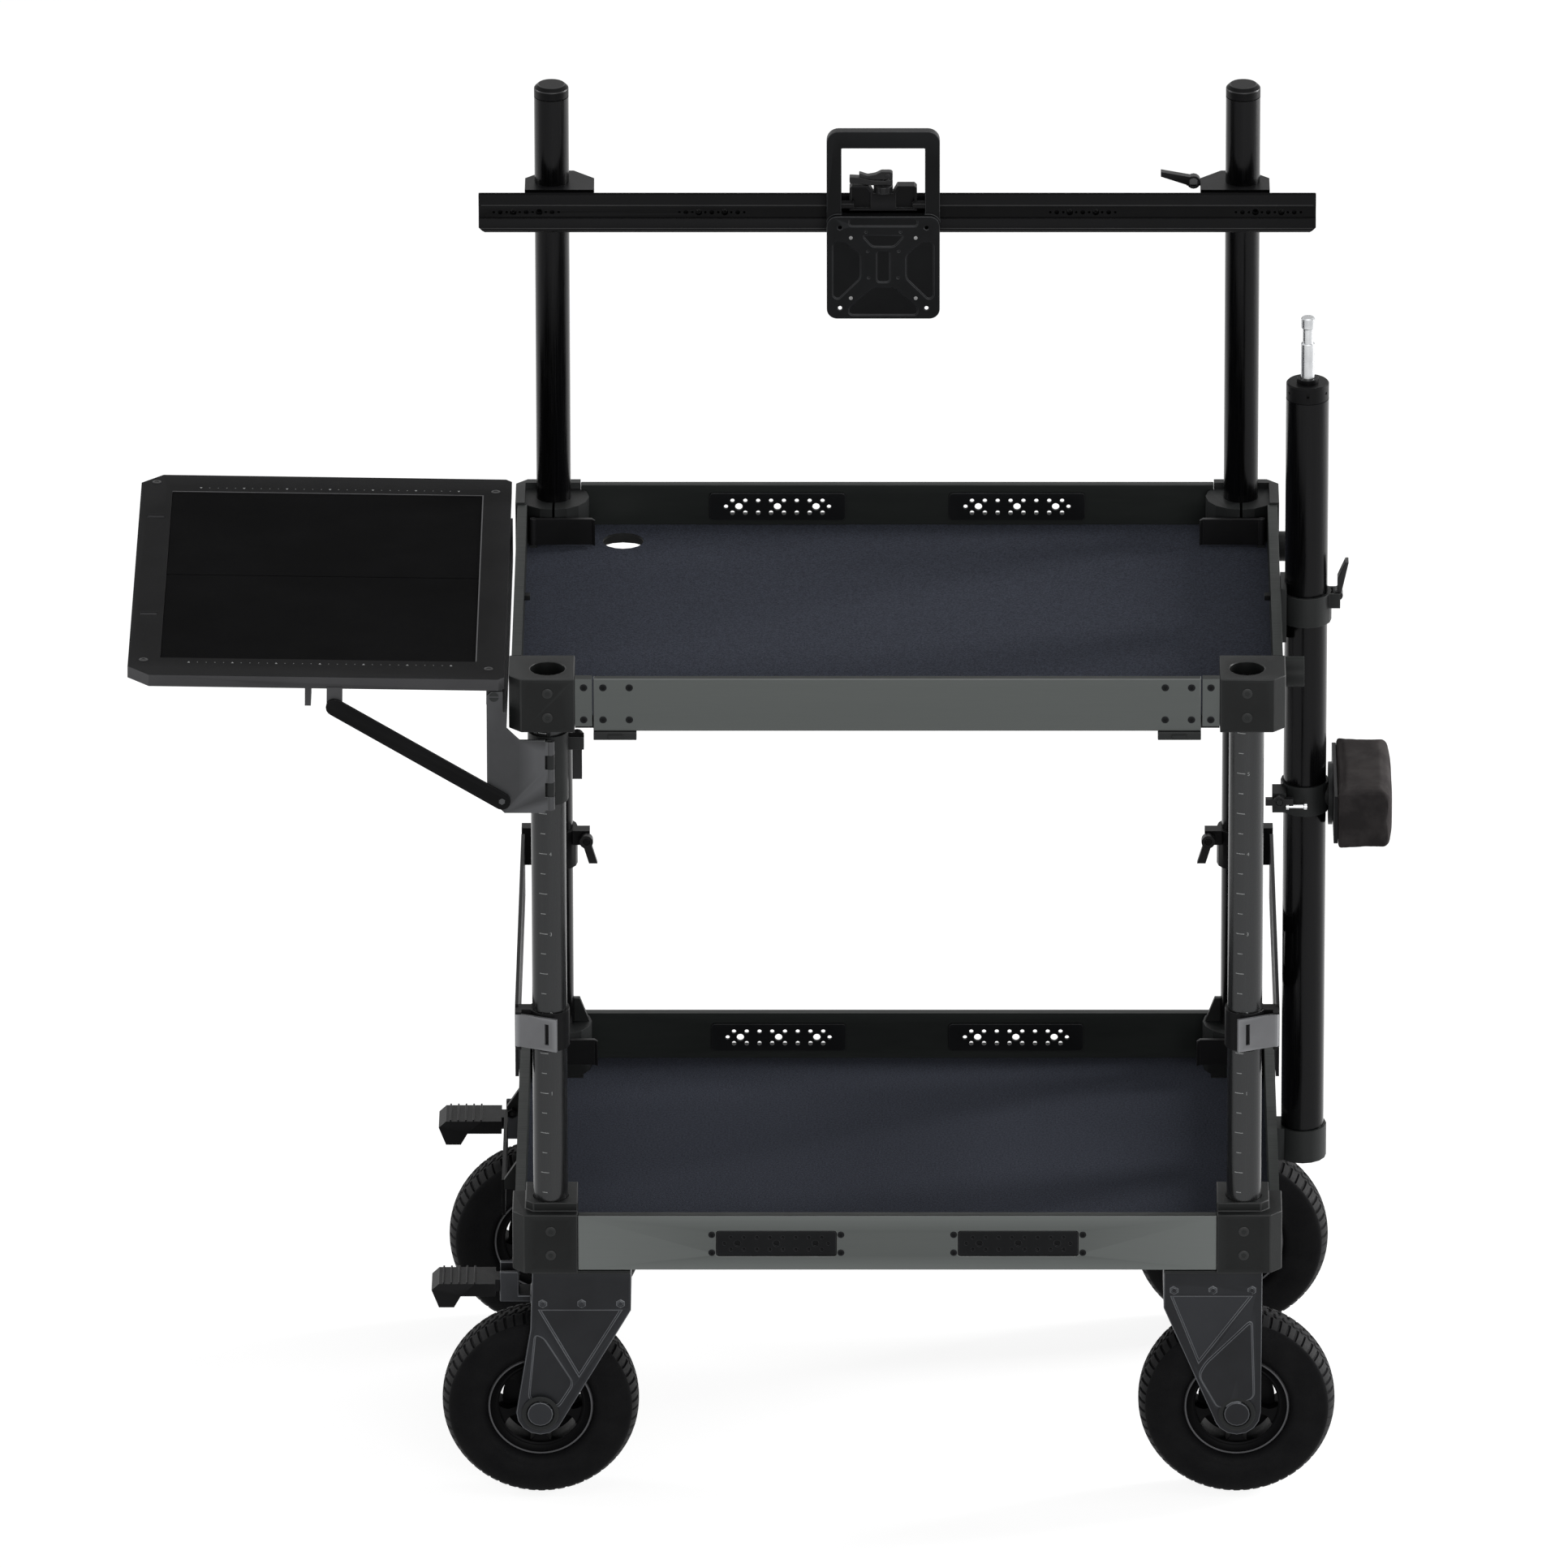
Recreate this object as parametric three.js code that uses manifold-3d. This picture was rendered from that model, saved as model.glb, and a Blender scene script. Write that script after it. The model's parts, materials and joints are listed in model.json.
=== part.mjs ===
// Camera cart: two carpeted shelves on four posts and swivel casters, with a monitor crossbar,
// a folding tablet shelf on the left and a stand mast with a body pad on the right.
// Millimetres, +Z up, front of the cart towards -Y. The sizes below are measured from the floor,
// under the middle of the cart; the finished part's origin is the middle of its lower deck.

import * as THREE from 'three';
import { mergeVertices } from 'three/addons/utils/BufferGeometryUtils.js';
import Module from 'manifold-3d';

const wasm = await Module();
wasm.setup();

// Fits used everywhere
const seat = 0.3;
const runGap = 1;
const overrun = 6;

// Facet counts
const roundSides = 16;
const smallSides = 6;
const boreSides = 12;
const wheelSides = 22;
const cornerSteps = 4;

// Shelf plan, shared by both shelves
const shelfHalfWidth = 441.8;
const shelfHalfDepth = 297;
const railThick = 11;
const deckThick = 12;
const carpetThick = 4;
const deckHalfX = shelfHalfWidth - railThick;
const deckHalfY = shelfHalfDepth - railThick;

// Heights of the lower shelf
const lowerRailBottom = 304.4;
const lowerRailHeight = 68.3;
const lowerRailTop = lowerRailBottom + lowerRailHeight;
const lowerCarpetRise = 11.3;
const lowerCarpetTop = lowerRailBottom + lowerCarpetRise;
const lowerDeckBottom = lowerCarpetTop - carpetThick - deckThick;
const lowerCornerDrop = 3.6;
const lowerCornerBottom = lowerRailBottom - lowerCornerDrop;
const lowerCornerProud = 1.3;
const lowerCornerTop = lowerRailTop + lowerCornerProud;
const lowerHousingDrop = 2;
const lowerHousingTop = lowerCornerTop - lowerHousingDrop;

// Heights of the upper shelf
const upperRailBottom = 979.7;
const upperRailHeight = 64.8;
const upperRailTop = upperRailBottom + upperRailHeight;
const upperCarpetRise = 15.3;
const upperCarpetTop = upperRailBottom + upperCarpetRise;
const upperDeckBottom = upperCarpetTop - carpetThick - deckThick;
const upperWallProud = 2.1;
const upperWallTop = upperRailTop + upperWallProud;
const upperHousingDrop = 5.5;
const upperHousingTop = upperRailTop - upperHousingDrop;

// Posts, set in from the edges of the shelves
const postInsetX = 41.8;
const postInsetY = 32;
const postX = shelfHalfWidth - postInsetX;
const postY = shelfHalfDepth - postInsetY;
const postRadius = 20;
const postWall = 3;
const postBore = postRadius - postWall;
const postFootRise = 7.6;
const postFootZ = lowerRailBottom + postFootRise;
const backPostTop = 1554.8;
const capHeight = 15.1;
const capChamfer = 4.5;
const frontPostDrop = 15;

// Corner castings round the posts
const cornerReachX = 31;
const cornerReachY = 38;
const cornerProudX = 2.4;
const cornerProudY = 2;
const cornerInnerX = postX - cornerReachX;
const cornerOuterX = shelfHalfWidth + cornerProudX;
const cornerFrontY = shelfHalfDepth + cornerProudY;
const cornerInnerY = postY - cornerReachY;
const cornerChamfer = 13.5;
const railHalf = cornerInnerX - seat;
const screwRadius = 4.6;
const screwProud = 0.8;
const cornerScrewRise = 30;

// Parts of the lower corner castings alone
const plinthRise = 11;
const plinthInsetX = 12.8;
const plinthInsetY = 9;
const plinthX = shelfHalfWidth - plinthInsetX;
const plinthY = shelfHalfDepth - plinthInsetY;
const plinthChamfer = 9;
const casterPlateHalf = 57;
const gussetRise = 27;
const gussetTop = lowerCornerTop + gussetRise;
const gussetThick = 7;
const gussetReach = 36;

// Front gate and its hinges, and the stubs beside it
const gateEndGap = 21.6;
const gateHalf = cornerInnerX - gateEndGap;
const gateThick = 10;
const gateHingeDrop = 5.7;
const gateHingeForward = 2;
const gateHingeRadius = 4;
const gateLeafLength = 50;
const stubBottomRise = 6;
const stubGap = 1.4;

// Cable hole, pegs and knobs of the upper tray
const cableHoleInsetX = 122.8;
const cableHoleInsetY = 61;
const cableHoleX = shelfHalfWidth - cableHoleInsetX;
const cableHoleY = shelfHalfDepth - cableHoleInsetY;
const cableHoleRadius = 24;
const cableHoleLip = 3;
const cableHoleRelief = 9;
const pegRadius = 17.5;
const pegLength = 25;
const pegSetback = 39;
const pegY = cornerInnerY - pegSetback;
const pegRise = 13;
const pegZ = upperCarpetTop + pegRise;
const sideKnobRadius = 5;
const sideKnobRise = 28;
const sideKnobZ = upperCarpetTop + sideKnobRise;
const sideKnobReach = 7;

// Post clamp housings at the back corners and their flip levers
const housingRadius = 41;
const clampSlot = 3;
const flipOutward = 23.4;
const flipForward = 46;
const flipPivotX = postX + flipOutward;
const flipY = postY - flipForward;
const flipThick = 5;
const flipLength = 72;
const flipCurl = 4;
const flipHeight = 32;
const flipHubRadius = 4;
const flipPinRadius = 2.2;
const upperFlipRise = 3;
const lowerFlipRise = 21.3;
const upperFlipZ = upperCarpetTop + upperFlipRise;
const lowerFlipZ = lowerCarpetTop + lowerFlipRise;
const flipLugWidth = 8;

// Hole plates on the rails
const platePitchX = 139.6;
const plateHalfWidth = 79;
const plateThick = 4;
const plateHeight = 34;
const plateRise = 22;
const plateHoleRadius = 4.6;
const plateHolePitch = 45;
const frontPlateHalf = 68.8;
const frontPlateDepth = 3;
const frontPlateHeight = 30;
const frontPlateRise = 18;

// Casters, measured from the kingpin
const kingpinInsetX = 35;
const kingpinInsetY = 33;
const kingpinX = postX - kingpinInsetX;
const kingpinY = postY - kingpinInsetY;
const kingpinRadius = 9;
const forkDrop = 9.4;
const forkTop = lowerRailBottom - forkDrop;
const wheelRadius = 114;
const tyreHalfWidth = 35;
const tyreShoulderHalf = 29;
const tyreFlatHalf = 16;
const tyreShoulderDrop = 7;
const tyreSideDrop = 26;
const rimRadius = 61.5;
const rimHalfWidth = 27;
const rimWall = 6;
const rimWebHalf = 5;
const hubRadius = 20;
const hubHalfWidth = 36;
const axleRadius = 7;
const spokeWindows = 5;
const windowRadius = 13;
const forkHalfWidth = 46;
const forkPlate = 8;
const bossRadius = 28;
const axleCapRadius = 15;
const axleCapProud = 4;
const forkThroat = 8;
const forkPocketDepth = 3;
const forkBlockHalf = 57;
const forkScrewRadius = 4.2;
const forkScrewSpread = 45;
const forkScrewDrop = 8.5;
const lockBoltRadius = 5;
const lockBoltLength = 9;
const lockBoltDrop = 8.5;

// The two caster patterns, with drops from the fork's top and rises from the axle:
// braked ones on the left, plain ones on the right
const brakedFork = {
  braked: true,
  trail: 48.6,
  blockDrop: 33.6,
  shoulderDrop: 51.1,
  edge: 59.6,
  edgeDrop: 75,
  recess: { inner: 45.3, outer: 48.5, drop: 51.1, tip: 3.4, tipRise: 47 },
};
const plainFork = {
  braked: false,
  trail: 28.5,
  blockDrop: 16.6,
  shoulderDrop: 48,
  edge: 57,
  edgeDrop: 55,
  recess: { inner: 47.6, outer: 44, drop: 33.6, tip: -16, tipRise: 64.5 },
};

// Brake pedal and its clevis on the braked casters
const clevisReach = 38;
const clevisLength = 22;
const clevisTo = forkBlockHalf + clevisReach;
const clevisFrom = clevisTo - clevisLength;
const clevisDrop = 53;
const clevisHeight = 38;
const clevisBottom = forkTop - clevisDrop;
const clevisTop = clevisBottom + clevisHeight;
const clevisHalf = 17;
const clevisCheek = 5;
const pedalPivotInset = 9;
const pedalPivotRise = 20;
const pedalPivot = clevisTo - pedalPivotInset;
const pedalPivotZ = clevisBottom + pedalPivotRise;
const pedalPinRadius = 3.5;
const pedalRootRadius = 9;
const pedalLength = 88;
const pedalTip = pedalPivot + pedalLength;
const pedalHalf = 24;
const pedalThick = 16;
const pedalRise = 6;
const pedalTopZ = pedalPivotZ + pedalRise;
const pedalToeDrop = 30;
const pedalToeLength = 26;
const pedalToeSlope = 7.8;
const pedalToeBevel = 8.5;
const pedalRidge = 2;
const pedalRidgePitch = 9;
const pedalRidges = 5;

// Side plates, with a ring round each post
const sideTop = 624;
const sideHeight = 91;
const sideBottom = sideTop - sideHeight;
const sideReach = 40;
const sideOuterX = postX + sideReach;
const sideThick = 4;
const sideFrontInset = 3;
const sideFrontY = postY - sideFrontInset;
const sideBackY = postY;
const sideChamfer = 30;
const sideSlots = 13;
const sideSlotPitch = 30;
const sideSlotWidth = 9;
const sideSlotHeight = 44;
const ringDrop = 2;
const ringHeight = 47;
const ringTop = sideTop - ringDrop;
const ringBottom = ringTop - ringHeight;
const frontRingWall = 3;
const backRingWall = 5.5;
const frontRingRadius = postRadius + frontRingWall;
const backRingRadius = postRadius + backRingWall;
const ringLugHalf = 8;
const ringLugOverlap = 2;

// Front latches on the side plate rings
const latchTurn = THREE.MathUtils.degToRad(22.3);
const latchHalf = 24;
const latchThick = 3.5;
const latchPivotAlong = 28.6;
const latchLeaf = 3;
const latchPinRadius = 1.8;
const latchSlotWidth = 5;
const latchSlotHeight = 26;
const latchSlotOffset = 12;
const latchKnuckleRadius = 3.5;

// Collar levers on the back rings
const collarHubInsetX = 36;
const collarHubInsetY = 20;
const collarHubDrop = 10;
const collarHubX = postX - collarHubInsetX;
const collarHubY = postY - collarHubInsetY;
const collarHubZ = ringTop - collarHubDrop;
const collarHubRadius = 8;
const collarHubHalf = 7;
const collarArmWidth = 10;
const collarArmLength = 27;
const collarArmSway = 8;
const collarPinRadius = 4;

// Crossbar, its post clamps and its ratchet lever
const barOverhang = 84;
const barHalf = postX + barOverhang;
const barStandoff = 60;
const barDepth = 30;
const barFrontY = postY - barStandoff;
const barBackY = barFrontY + barDepth;
const barDrop = 162.3;
const barHeight = 50;
const barBottom = backPostTop - barDrop;
const barTop = barBottom + barHeight;
const barGrooveTop = 33.2;
const barGrooveBottom = 18;
const barHoleInset = 55;
const barHoleOuter = barHalf - barHoleInset;
const barHoleInner = 214.3;
const barHolePitch = 30;
const barHoleRadius = 3;
const barGrooveDepth = 3;
const barChamfer = 3;
const barEndTopChamfer = 2.5;
const barEndLowChamfer = 7;
const clampInnerReach = 49;
const clampOuterReach = 31;
const clampBackReach = 31;
const clampFromX = postX - clampInnerReach;
const clampToX = postX + clampOuterReach;
const clampBackY = postY + clampBackReach;
const clampRise = 11.5;
const clampProud = 4.5;
const clampBottom = barBottom + clampRise;
const clampTop = barTop + clampProud;
const clampCorner = 24;
const barLeverInset = 8;
const barLeverForward = 3;
const barLeverDrop = 5.5;
const barLeverX = clampFromX - barLeverInset;
const barLeverY = postY - barLeverForward;
const barLeverZ = barTop - barLeverDrop;
const barLeverPinRadius = 5;
const barLeverHubRadius = 8;
const barLeverHubHeight = 10;
const barLeverLength = 38;
const barLeverRise = 13;
const barLeverWidth = 12;

// Monitor carriage and its cam lever
const carriageX = -16.2;
const carriageHalf = 39;
const carriageDepth = 14;
const carriageFrontY = barFrontY - carriageDepth;
const carriageDrop = 16.5;
const carriageBottom = barTop - carriageDrop;
const saddleThick = 5;
const saddleLip = 14;
const saddleHalf = 11;
const jawRise = 9;
const jawCorner = 3;
const jawPocketFrom = 14.5;
const jawPocketRim = 2.5;
const jawPocketDepth = 4;
const valleyHalf = 11.5;
const valleySlope = 5;
const camColumnRadius = 10;
const camColumnProud = 8.5;
const camForward = 8;
const camY = barFrontY - camForward;
const camLeverHeight = 17;
const camLeverLength = 39;
const camLeverWidth = 10;
const camArmBottom = 2;
const camArmTipTop = 10;
const camArmWaist = 27;
const camArmWaistTop = 15;
const camHubRadius = 11;
const camPinRadius = 4;
const trunnionRadius = 5;
const trunnionForward = 15;
const trunnionDrop = 8.5;
const trunnionY = barFrontY - trunnionForward;
const trunnionZ = barTop - trunnionDrop;

// Monitor head: handle frame above, monitor plate below
const headHalf = 65.4;
const headRise = 93;
const headTop = trunnionZ + headRise;
const headCorner = 14;
const handleSideWall = 17.2;
const handleTopWall = 21.3;
const handleDrop = 13;
const handleHalf = headHalf - handleSideWall;
const handleBottom = trunnionZ - handleDrop;
const handleTop = headTop - handleTopWall;
const handleCorner = 5;
const headBackGap = 9;
const headBackY = barFrontY - headBackGap;
const handleThick = 12;
const headCrosspiece = 25;
const plateForward = 18;
const plateFrontY = headBackY - plateForward;
const plateTopDrop = 10;
const plateLength = 127.4;
const plateTop = trunnionZ - plateTopDrop;
const plateBottom = plateTop - plateLength;
const plateCorner = 12;
const vesaDrop = 64;
const vesaZ = plateTop - vesaDrop;
const vesaHalf = 50;
const vesaHole = 2.6;

// Tablet shelf: clamp sleeve, hinge and swing bracket on the front left post
const sleeveWall = 3.3;
const sleeveRadius = postRadius + sleeveWall;
const sleeveDrop = 11.7;
const sleeveLength = 85;
const sleeveTop = upperRailBottom - sleeveDrop;
const sleeveBottom = sleeveTop - sleeveLength;
const hingeInset = 3;
const hingeForward = 33;
const hingeX = postX - hingeInset;
const hingeY = postY + hingeForward;
const hingeRadius = 5;
const hingePinRadius = 2.2;
const hingeBands = 5;
const bracketThick = 4;
const bracketDrop = 3;
const bracketProud = 2;
const bracketBottom = sleeveBottom - bracketDrop;
const bracketTop = sleeveTop + bracketProud;
const bracketReach = 72.5;
const bracketOuterX = hingeX + bracketReach;
const bracketCut = 20;
const neckWidth = 18.5;
const neckHeight = 60;
const neckInnerX = bracketOuterX - neckWidth;
const neckTop = bracketTop + neckHeight;
const neckStep = 19;
const neckChamfer = 5.2;
const beamInset = 4;
const beamThick = 9;
const beamFromX = neckInnerX - beamInset;
const beamToX = beamFromX + beamThick;
const beamBackInset = 45;
const beamBackY = postY - beamBackInset;
const beamRise = 5;
const beamHeight = 30;
const beamBottom = bracketTop + beamRise;
const beamTop = beamBottom + beamHeight;

// Lever of the tablet clamp
const clampLeverInsetX = 33;
const clampLeverInsetY = 20;
const clampLeverDrop = 20;
const clampLeverX = postX - clampLeverInsetX;
const clampLeverY = postY - clampLeverInsetY;
const clampLeverZ = sleeveTop - clampLeverDrop;
const clampLeverHubRadius = 8;
const clampLeverWidth = 11;
const clampLeverThick = 11;
const clampLeverEar = 13;
const clampLeverLength = 50;

// Tablet board, in its own frame at the fold pivot and tilted up by the board slope
const boardSlope = THREE.MathUtils.degToRad(0.87);
const foldInset = 8.7;
const foldDrop = 8;
const foldX = bracketOuterX - foldInset;
const foldZ = neckTop - foldDrop;
const foldPinRadius = 4;
const foldEarHalf = 9;
const boardTopRise = 23.5;
const boardThick = 14;
const boardInner = 11.5;
const boardOuter = 419.7;
const boardFrontProud = 3.5;
const boardBackProud = 3.8;
const boardFrontY = hingeY + boardFrontProud;
const boardBackY = shelfHalfDepth + boardBackProud;
const boardChamfer = 25;
const boardInnerChamfer = 7;
const matFrom = 22.2;
const matMargin = 36.5;
const matEndMargin = 51.3;
const matTo = boardOuter - matMargin;
const matHalf = boardBackY - matEndMargin;
const matSink = 2;
const strapReach = 30;
const strapHalf = 5;
const strapBackInset = 126.8;
const strapFrontInset = 181.8;
const strapBackY = boardBackY - strapBackInset;
const strapFrontY = boardBackY - strapFrontInset;

// Folding strut under the tablet board
const strutTopReach = 182.3;
const strutTopDrop = 9;
const strutLowInset = 17;
const strutLowRise = 16.3;
const strutTopX = foldX + strutTopReach;
const strutTopZ = foldZ - strutTopDrop;
const strutLowX = bracketOuterX - strutLowInset;
const strutLowZ = bracketBottom + strutLowRise;
const strutWidth = 20;
const strutThick = 4;
const strutPinRadius = 4;
const strutPivotRadius = 9;
const strutBoss = 1;
const tabReach = 209.2;
const tabThick = 7;
const tabDrop = 12;
const tabFrom = foldX + tabReach;
const tabTo = tabFrom + tabThick;
const tabBottom = foldZ - tabDrop;

// Mast on the right side, with its cup on the lower shelf
const mastStandoff = 30.2;
const mastX = shelfHalfWidth + mastStandoff;
const mastRadius = 24.7;
const mastWall = 4.7;
const mastBore = mastRadius - mastWall;
const cupRise = 3.3;
const cupHeight = 40;
const cupFloor = 7;
const cupWall = 3.3;
const cupBottom = lowerCarpetTop + cupRise;
const cupTop = cupBottom + cupHeight;
const cupRadius = mastRadius + cupWall;
const cupArmHalf = 18;
const mastBottom = cupBottom + cupFloor;
const mastTop = 1291;
const mastCapHeight = 20;
const mastCapStep = 0.6;
const mastCollarRadius = 12.5;
const mastCollarHeight = 5;
const spigotRadius = 8;
const spigotShankLength = 48;
const spigotNeckLength = 17.6;
const spigotHeadLength = 14.1;
const spigotNeckRadius = 6.25;
const spigotShoulder = mastTop + spigotShankLength;
const spigotNeckTop = spigotShoulder + spigotNeckLength;
const spigotTop = spigotNeckTop + spigotHeadLength;
const spigotBevel = 1.5;

// Bracket, band and lever that hold the mast on the upper shelf
const mastBandWall = 4.8;
const mastBandRadius = mastRadius + mastBandWall;
const mastBandHeight = 36;
const mastBandBottom = upperCarpetTop;
const mastBandTop = mastBandBottom + mastBandHeight;
const mastBaseHalf = 26;
const mastBaseThick = 7;
const mastBaseDrop = 19;
const mastBaseRise = 12;
const mastBaseBottom = mastBandBottom - mastBaseDrop;
const mastBaseTop = mastBandTop + mastBaseRise;
const mastArmHalf = 15;
const mastLeverReach = 36;
const mastLeverInset = 4;
const mastLeverX = mastX + mastLeverReach;
const mastLeverZ = mastBandTop - mastLeverInset;
const mastLeverLength = 42;
const mastLeverSway = 9;
const mastLeverHub = 6.5;
const mastLeverHalf = 8;
const mastLeverThick = 8;
const mastLeverPin = 3;
const mastLugReach = 14;
const mastLugThick = 4;

// Body pad on the mast
const padAxisZ = 776.5;
const padClampWall = 3.3;
const padClampRadius = mastRadius + padClampWall;
const padClampBelow = 18.5;
const padClampAbove = 17.5;
const padClampBottom = padAxisZ - padClampBelow;
const padClampTop = padAxisZ + padClampAbove;
const padDiscReach = 27;
const padDiscThick = 5;
const padDiscFrom = mastX + padDiscReach;
const padDiscTo = padDiscFrom + padDiscThick;
const padDiscRadius = 36.5;
const padBossRadius = 15;
const padPinRadius = 6;
const padPinReach = 4;
const padBackThick = 4.6;
const padBackHalfY = 80;
const padBackHalfZ = 30;
const padThick = 63.5;
const padHalfY = 86;
const padHalfZ = 35.5;
const padCrown = 5;
const padDraw = 4;
const padRings = 7;
const padStepsRound = 24;
const padCornerShare = 0.16;
const padCrownShares = [0.85, 0.6, 0.3];
const padLeverInset = 30;
const padLeverRise = 6.5;
const padLeverX = mastX - padLeverInset;
const padLeverY = 36;
const padLeverZ = padAxisZ + padLeverRise;
const padLeverHalf = 16;
const padLeverThick = 8;
const padLeverHubRadius = 7;
const padLeverDepth = 8;
const padBoltRadius = 4;
const padEarHalf = 8;

// Side flap folded down at the left of the lower shelf
const flapStandoff = 8.7;
const flapAxisRise = 12.3;
const flapAxisX = shelfHalfWidth + flapStandoff;
const flapAxisZ = lowerCarpetTop + flapAxisRise;
const flapLugY = 105;
const flapLugHalf = 3.5;
const flapOuter = 9;
const flapLength = 42;
const flapBottom = flapAxisZ - flapLength;
const flapPlateThick = 4;
const flapBarrelRadius = 6;
const flapPinRadius = 2.5;
const flapEarHalf = 4;
const flapGussetRise = 29;
const flapGussetTop = flapAxisZ + flapGussetRise;

// Paints: colour, roughness, metalness
const paints = {
  anodised: [0x4b4f4e, 0.45, 0.7],
  casting: [0x1e2020, 0.6, 0.5],
  gunmetal: [0x3b3d3f, 0.35, 0.8],
  black: [0x141515, 0.5, 0.4],
  carpet: [0x23262f, 1, 0],
  rubber: [0x101010, 0.85, 0],
  rim: [0x121314, 0.5, 0.4],
  lever: [0x232525, 0.5, 0.4],
  steel: [0xb9bcbe, 0.25, 1],
  plate: [0x1a1b1c, 0.45, 0.5],
  suede: [0x2a2826, 0.95, 0],
};

// Solid helpers

function solidFrom(geometry) {
  geometry.deleteAttribute('normal');
  geometry.deleteAttribute('uv');
  const welded = mergeVertices(geometry);
  const positions = new Float32Array(welded.attributes.position.array);
  const corners = [];
  for (let i = 0; i < welded.index.count; i += 3) {
    const triangle = [0, 1, 2].map((step) => welded.index.getX(i + step));
    if (new Set(triangle).size === 3) {
      corners.push(...triangle);
    }
  }
  return solidOf(positions, outward(positions, corners));
}

function solidOf(positions, corners) {
  const triVerts = new Uint32Array(corners);
  return new wasm.Manifold(new wasm.Mesh({ numProp: 3, vertProperties: positions, triVerts }));
}

function pointOf(positions, index) {
  return new THREE.Vector3().fromArray(positions, index * 3);
}

// Turns all triangles round when their enclosed volume comes out negative
function outward(positions, corners) {
  let volume = 0;
  for (let i = 0; i < corners.length; i += 3) {
    const [a, b, c] = [0, 1, 2].map((step) => pointOf(positions, corners[i + step]));
    volume += a.dot(b.cross(c));
  }
  return volume < 0 ? corners.slice().reverse() : corners;
}

function box(x0, x1, y0, y1, z0, z1) {
  const geometry = new THREE.BoxGeometry(Math.abs(x1 - x0), Math.abs(y1 - y0), Math.abs(z1 - z0));
  return solidFrom(geometry.translate((x0 + x1) / 2, (y0 + y1) / 2, (z0 + z1) / 2));
}

// Turns a shape made along Y so that it lies along the named axis
function lay(geometry, axis) {
  if (axis === 'x') {
    return geometry.rotateZ(-Math.PI / 2);
  }
  return axis === 'z' ? geometry.rotateX(Math.PI / 2) : geometry;
}

function offset(geometry, axis, along, a, b) {
  const places = { x: [along, a, b], y: [a, along, b], z: [a, b, along] };
  return geometry.translate(...places[axis]);
}

// A cylinder along an axis; a and b are its two other coordinates
function rod(axis, radius, from, to, a = 0, b = 0, sides = roundSides) {
  const geometry = new THREE.CylinderGeometry(radius, radius, Math.abs(to - from), sides);
  return solidFrom(offset(lay(geometry, axis), axis, (from + to) / 2, a, b));
}

// A turned body; its profile lists radius and place along the axis
function turned(axis, profile, a = 0, b = 0, sides = roundSides) {
  const points = profile.map(([radius, along]) => new THREE.Vector2(radius, along));
  return solidFrom(offset(lay(new THREE.LatheGeometry(points, sides), axis), axis, 0, a, b));
}

// An outline pushed along an axis; outlines are XY for z, XZ for y and YZ for x
function prism(axis, outline, from, to) {
  const shape = Array.isArray(outline)
    ? new THREE.Shape(outline.map(([u, v]) => new THREE.Vector2(u, v)))
    : outline;
  const depth = Math.abs(to - from);
  const options = { depth, bevelEnabled: false, curveSegments: cornerSteps };
  const geometry = new THREE.ExtrudeGeometry(shape, options);
  const unitX = new THREE.Vector3(1, 0, 0);
  const unitY = new THREE.Vector3(0, 1, 0);
  const unitZ = new THREE.Vector3(0, 0, 1);
  const turn = new THREE.Matrix4();
  if (axis === 'y') {
    turn.makeBasis(unitX, unitZ, unitY.clone().negate());
    geometry.applyMatrix4(turn).translate(0, Math.max(from, to), 0);
  } else if (axis === 'x') {
    turn.makeBasis(unitY, unitZ, unitX);
    geometry.applyMatrix4(turn).translate(Math.min(from, to), 0, 0);
  } else {
    geometry.translate(0, 0, Math.min(from, to));
  }
  return solidFrom(geometry);
}

// A rectangle outline with rounded corners
function rounded(u0, u1, v0, v1, radius) {
  const shape = new THREE.Shape();
  shape.moveTo(u0 + radius, v0);
  shape.lineTo(u1 - radius, v0);
  shape.absarc(u1 - radius, v0 + radius, radius, -Math.PI / 2, 0, false);
  shape.lineTo(u1, v1 - radius);
  shape.absarc(u1 - radius, v1 - radius, radius, 0, Math.PI / 2, false);
  shape.lineTo(u0 + radius, v1);
  shape.absarc(u0 + radius, v1 - radius, radius, Math.PI / 2, Math.PI, false);
  shape.lineTo(u0, v0 + radius);
  shape.absarc(u0 + radius, v0 + radius, radius, Math.PI, Math.PI * 1.5, false);
  return shape;
}

function join(...solids) {
  return solids.reduce((whole, piece) => whole.add(piece));
}

function cut(whole, ...tools) {
  return tools.reduce((rest, tool) => rest.subtract(tool), whole);
}

// The mirror image of a solid across the plane where the given coordinate is zero
function mirrored(solid, coordinate) {
  const mesh = solid.getMesh();
  const positions = new Float32Array(mesh.vertProperties);
  for (let i = coordinate; i < positions.length; i += 3) {
    positions[i] = -positions[i];
  }
  return solidOf(positions, outward(positions, Array.from(mesh.triVerts)));
}

// A solid built for the right and front, turned over for the left or the back
function handed(solid, sideX, sideY = -1) {
  const across = sideX < 0 ? mirrored(solid, 0) : solid;
  return sideY > 0 ? mirrored(across, 1) : across;
}

function place(parent, name, solid, paint, x = 0, y = 0, z = 0) {
  const source = solid.getMesh();
  const geometry = new THREE.BufferGeometry();
  geometry.setAttribute('position', new THREE.BufferAttribute(source.vertProperties, 3));
  geometry.setIndex(new THREE.BufferAttribute(source.triVerts, 1));
  const [color, roughness, metalness] = paints[paint];
  const material = new THREE.MeshStandardMaterial({ color, roughness, metalness });
  const mesh = new THREE.Mesh(geometry.toNonIndexed(), material);
  mesh.geometry.computeVertexNormals();
  mesh.name = name;
  mesh.position.set(x, y, z);
  parent.add(mesh);
  return mesh;
}

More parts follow.
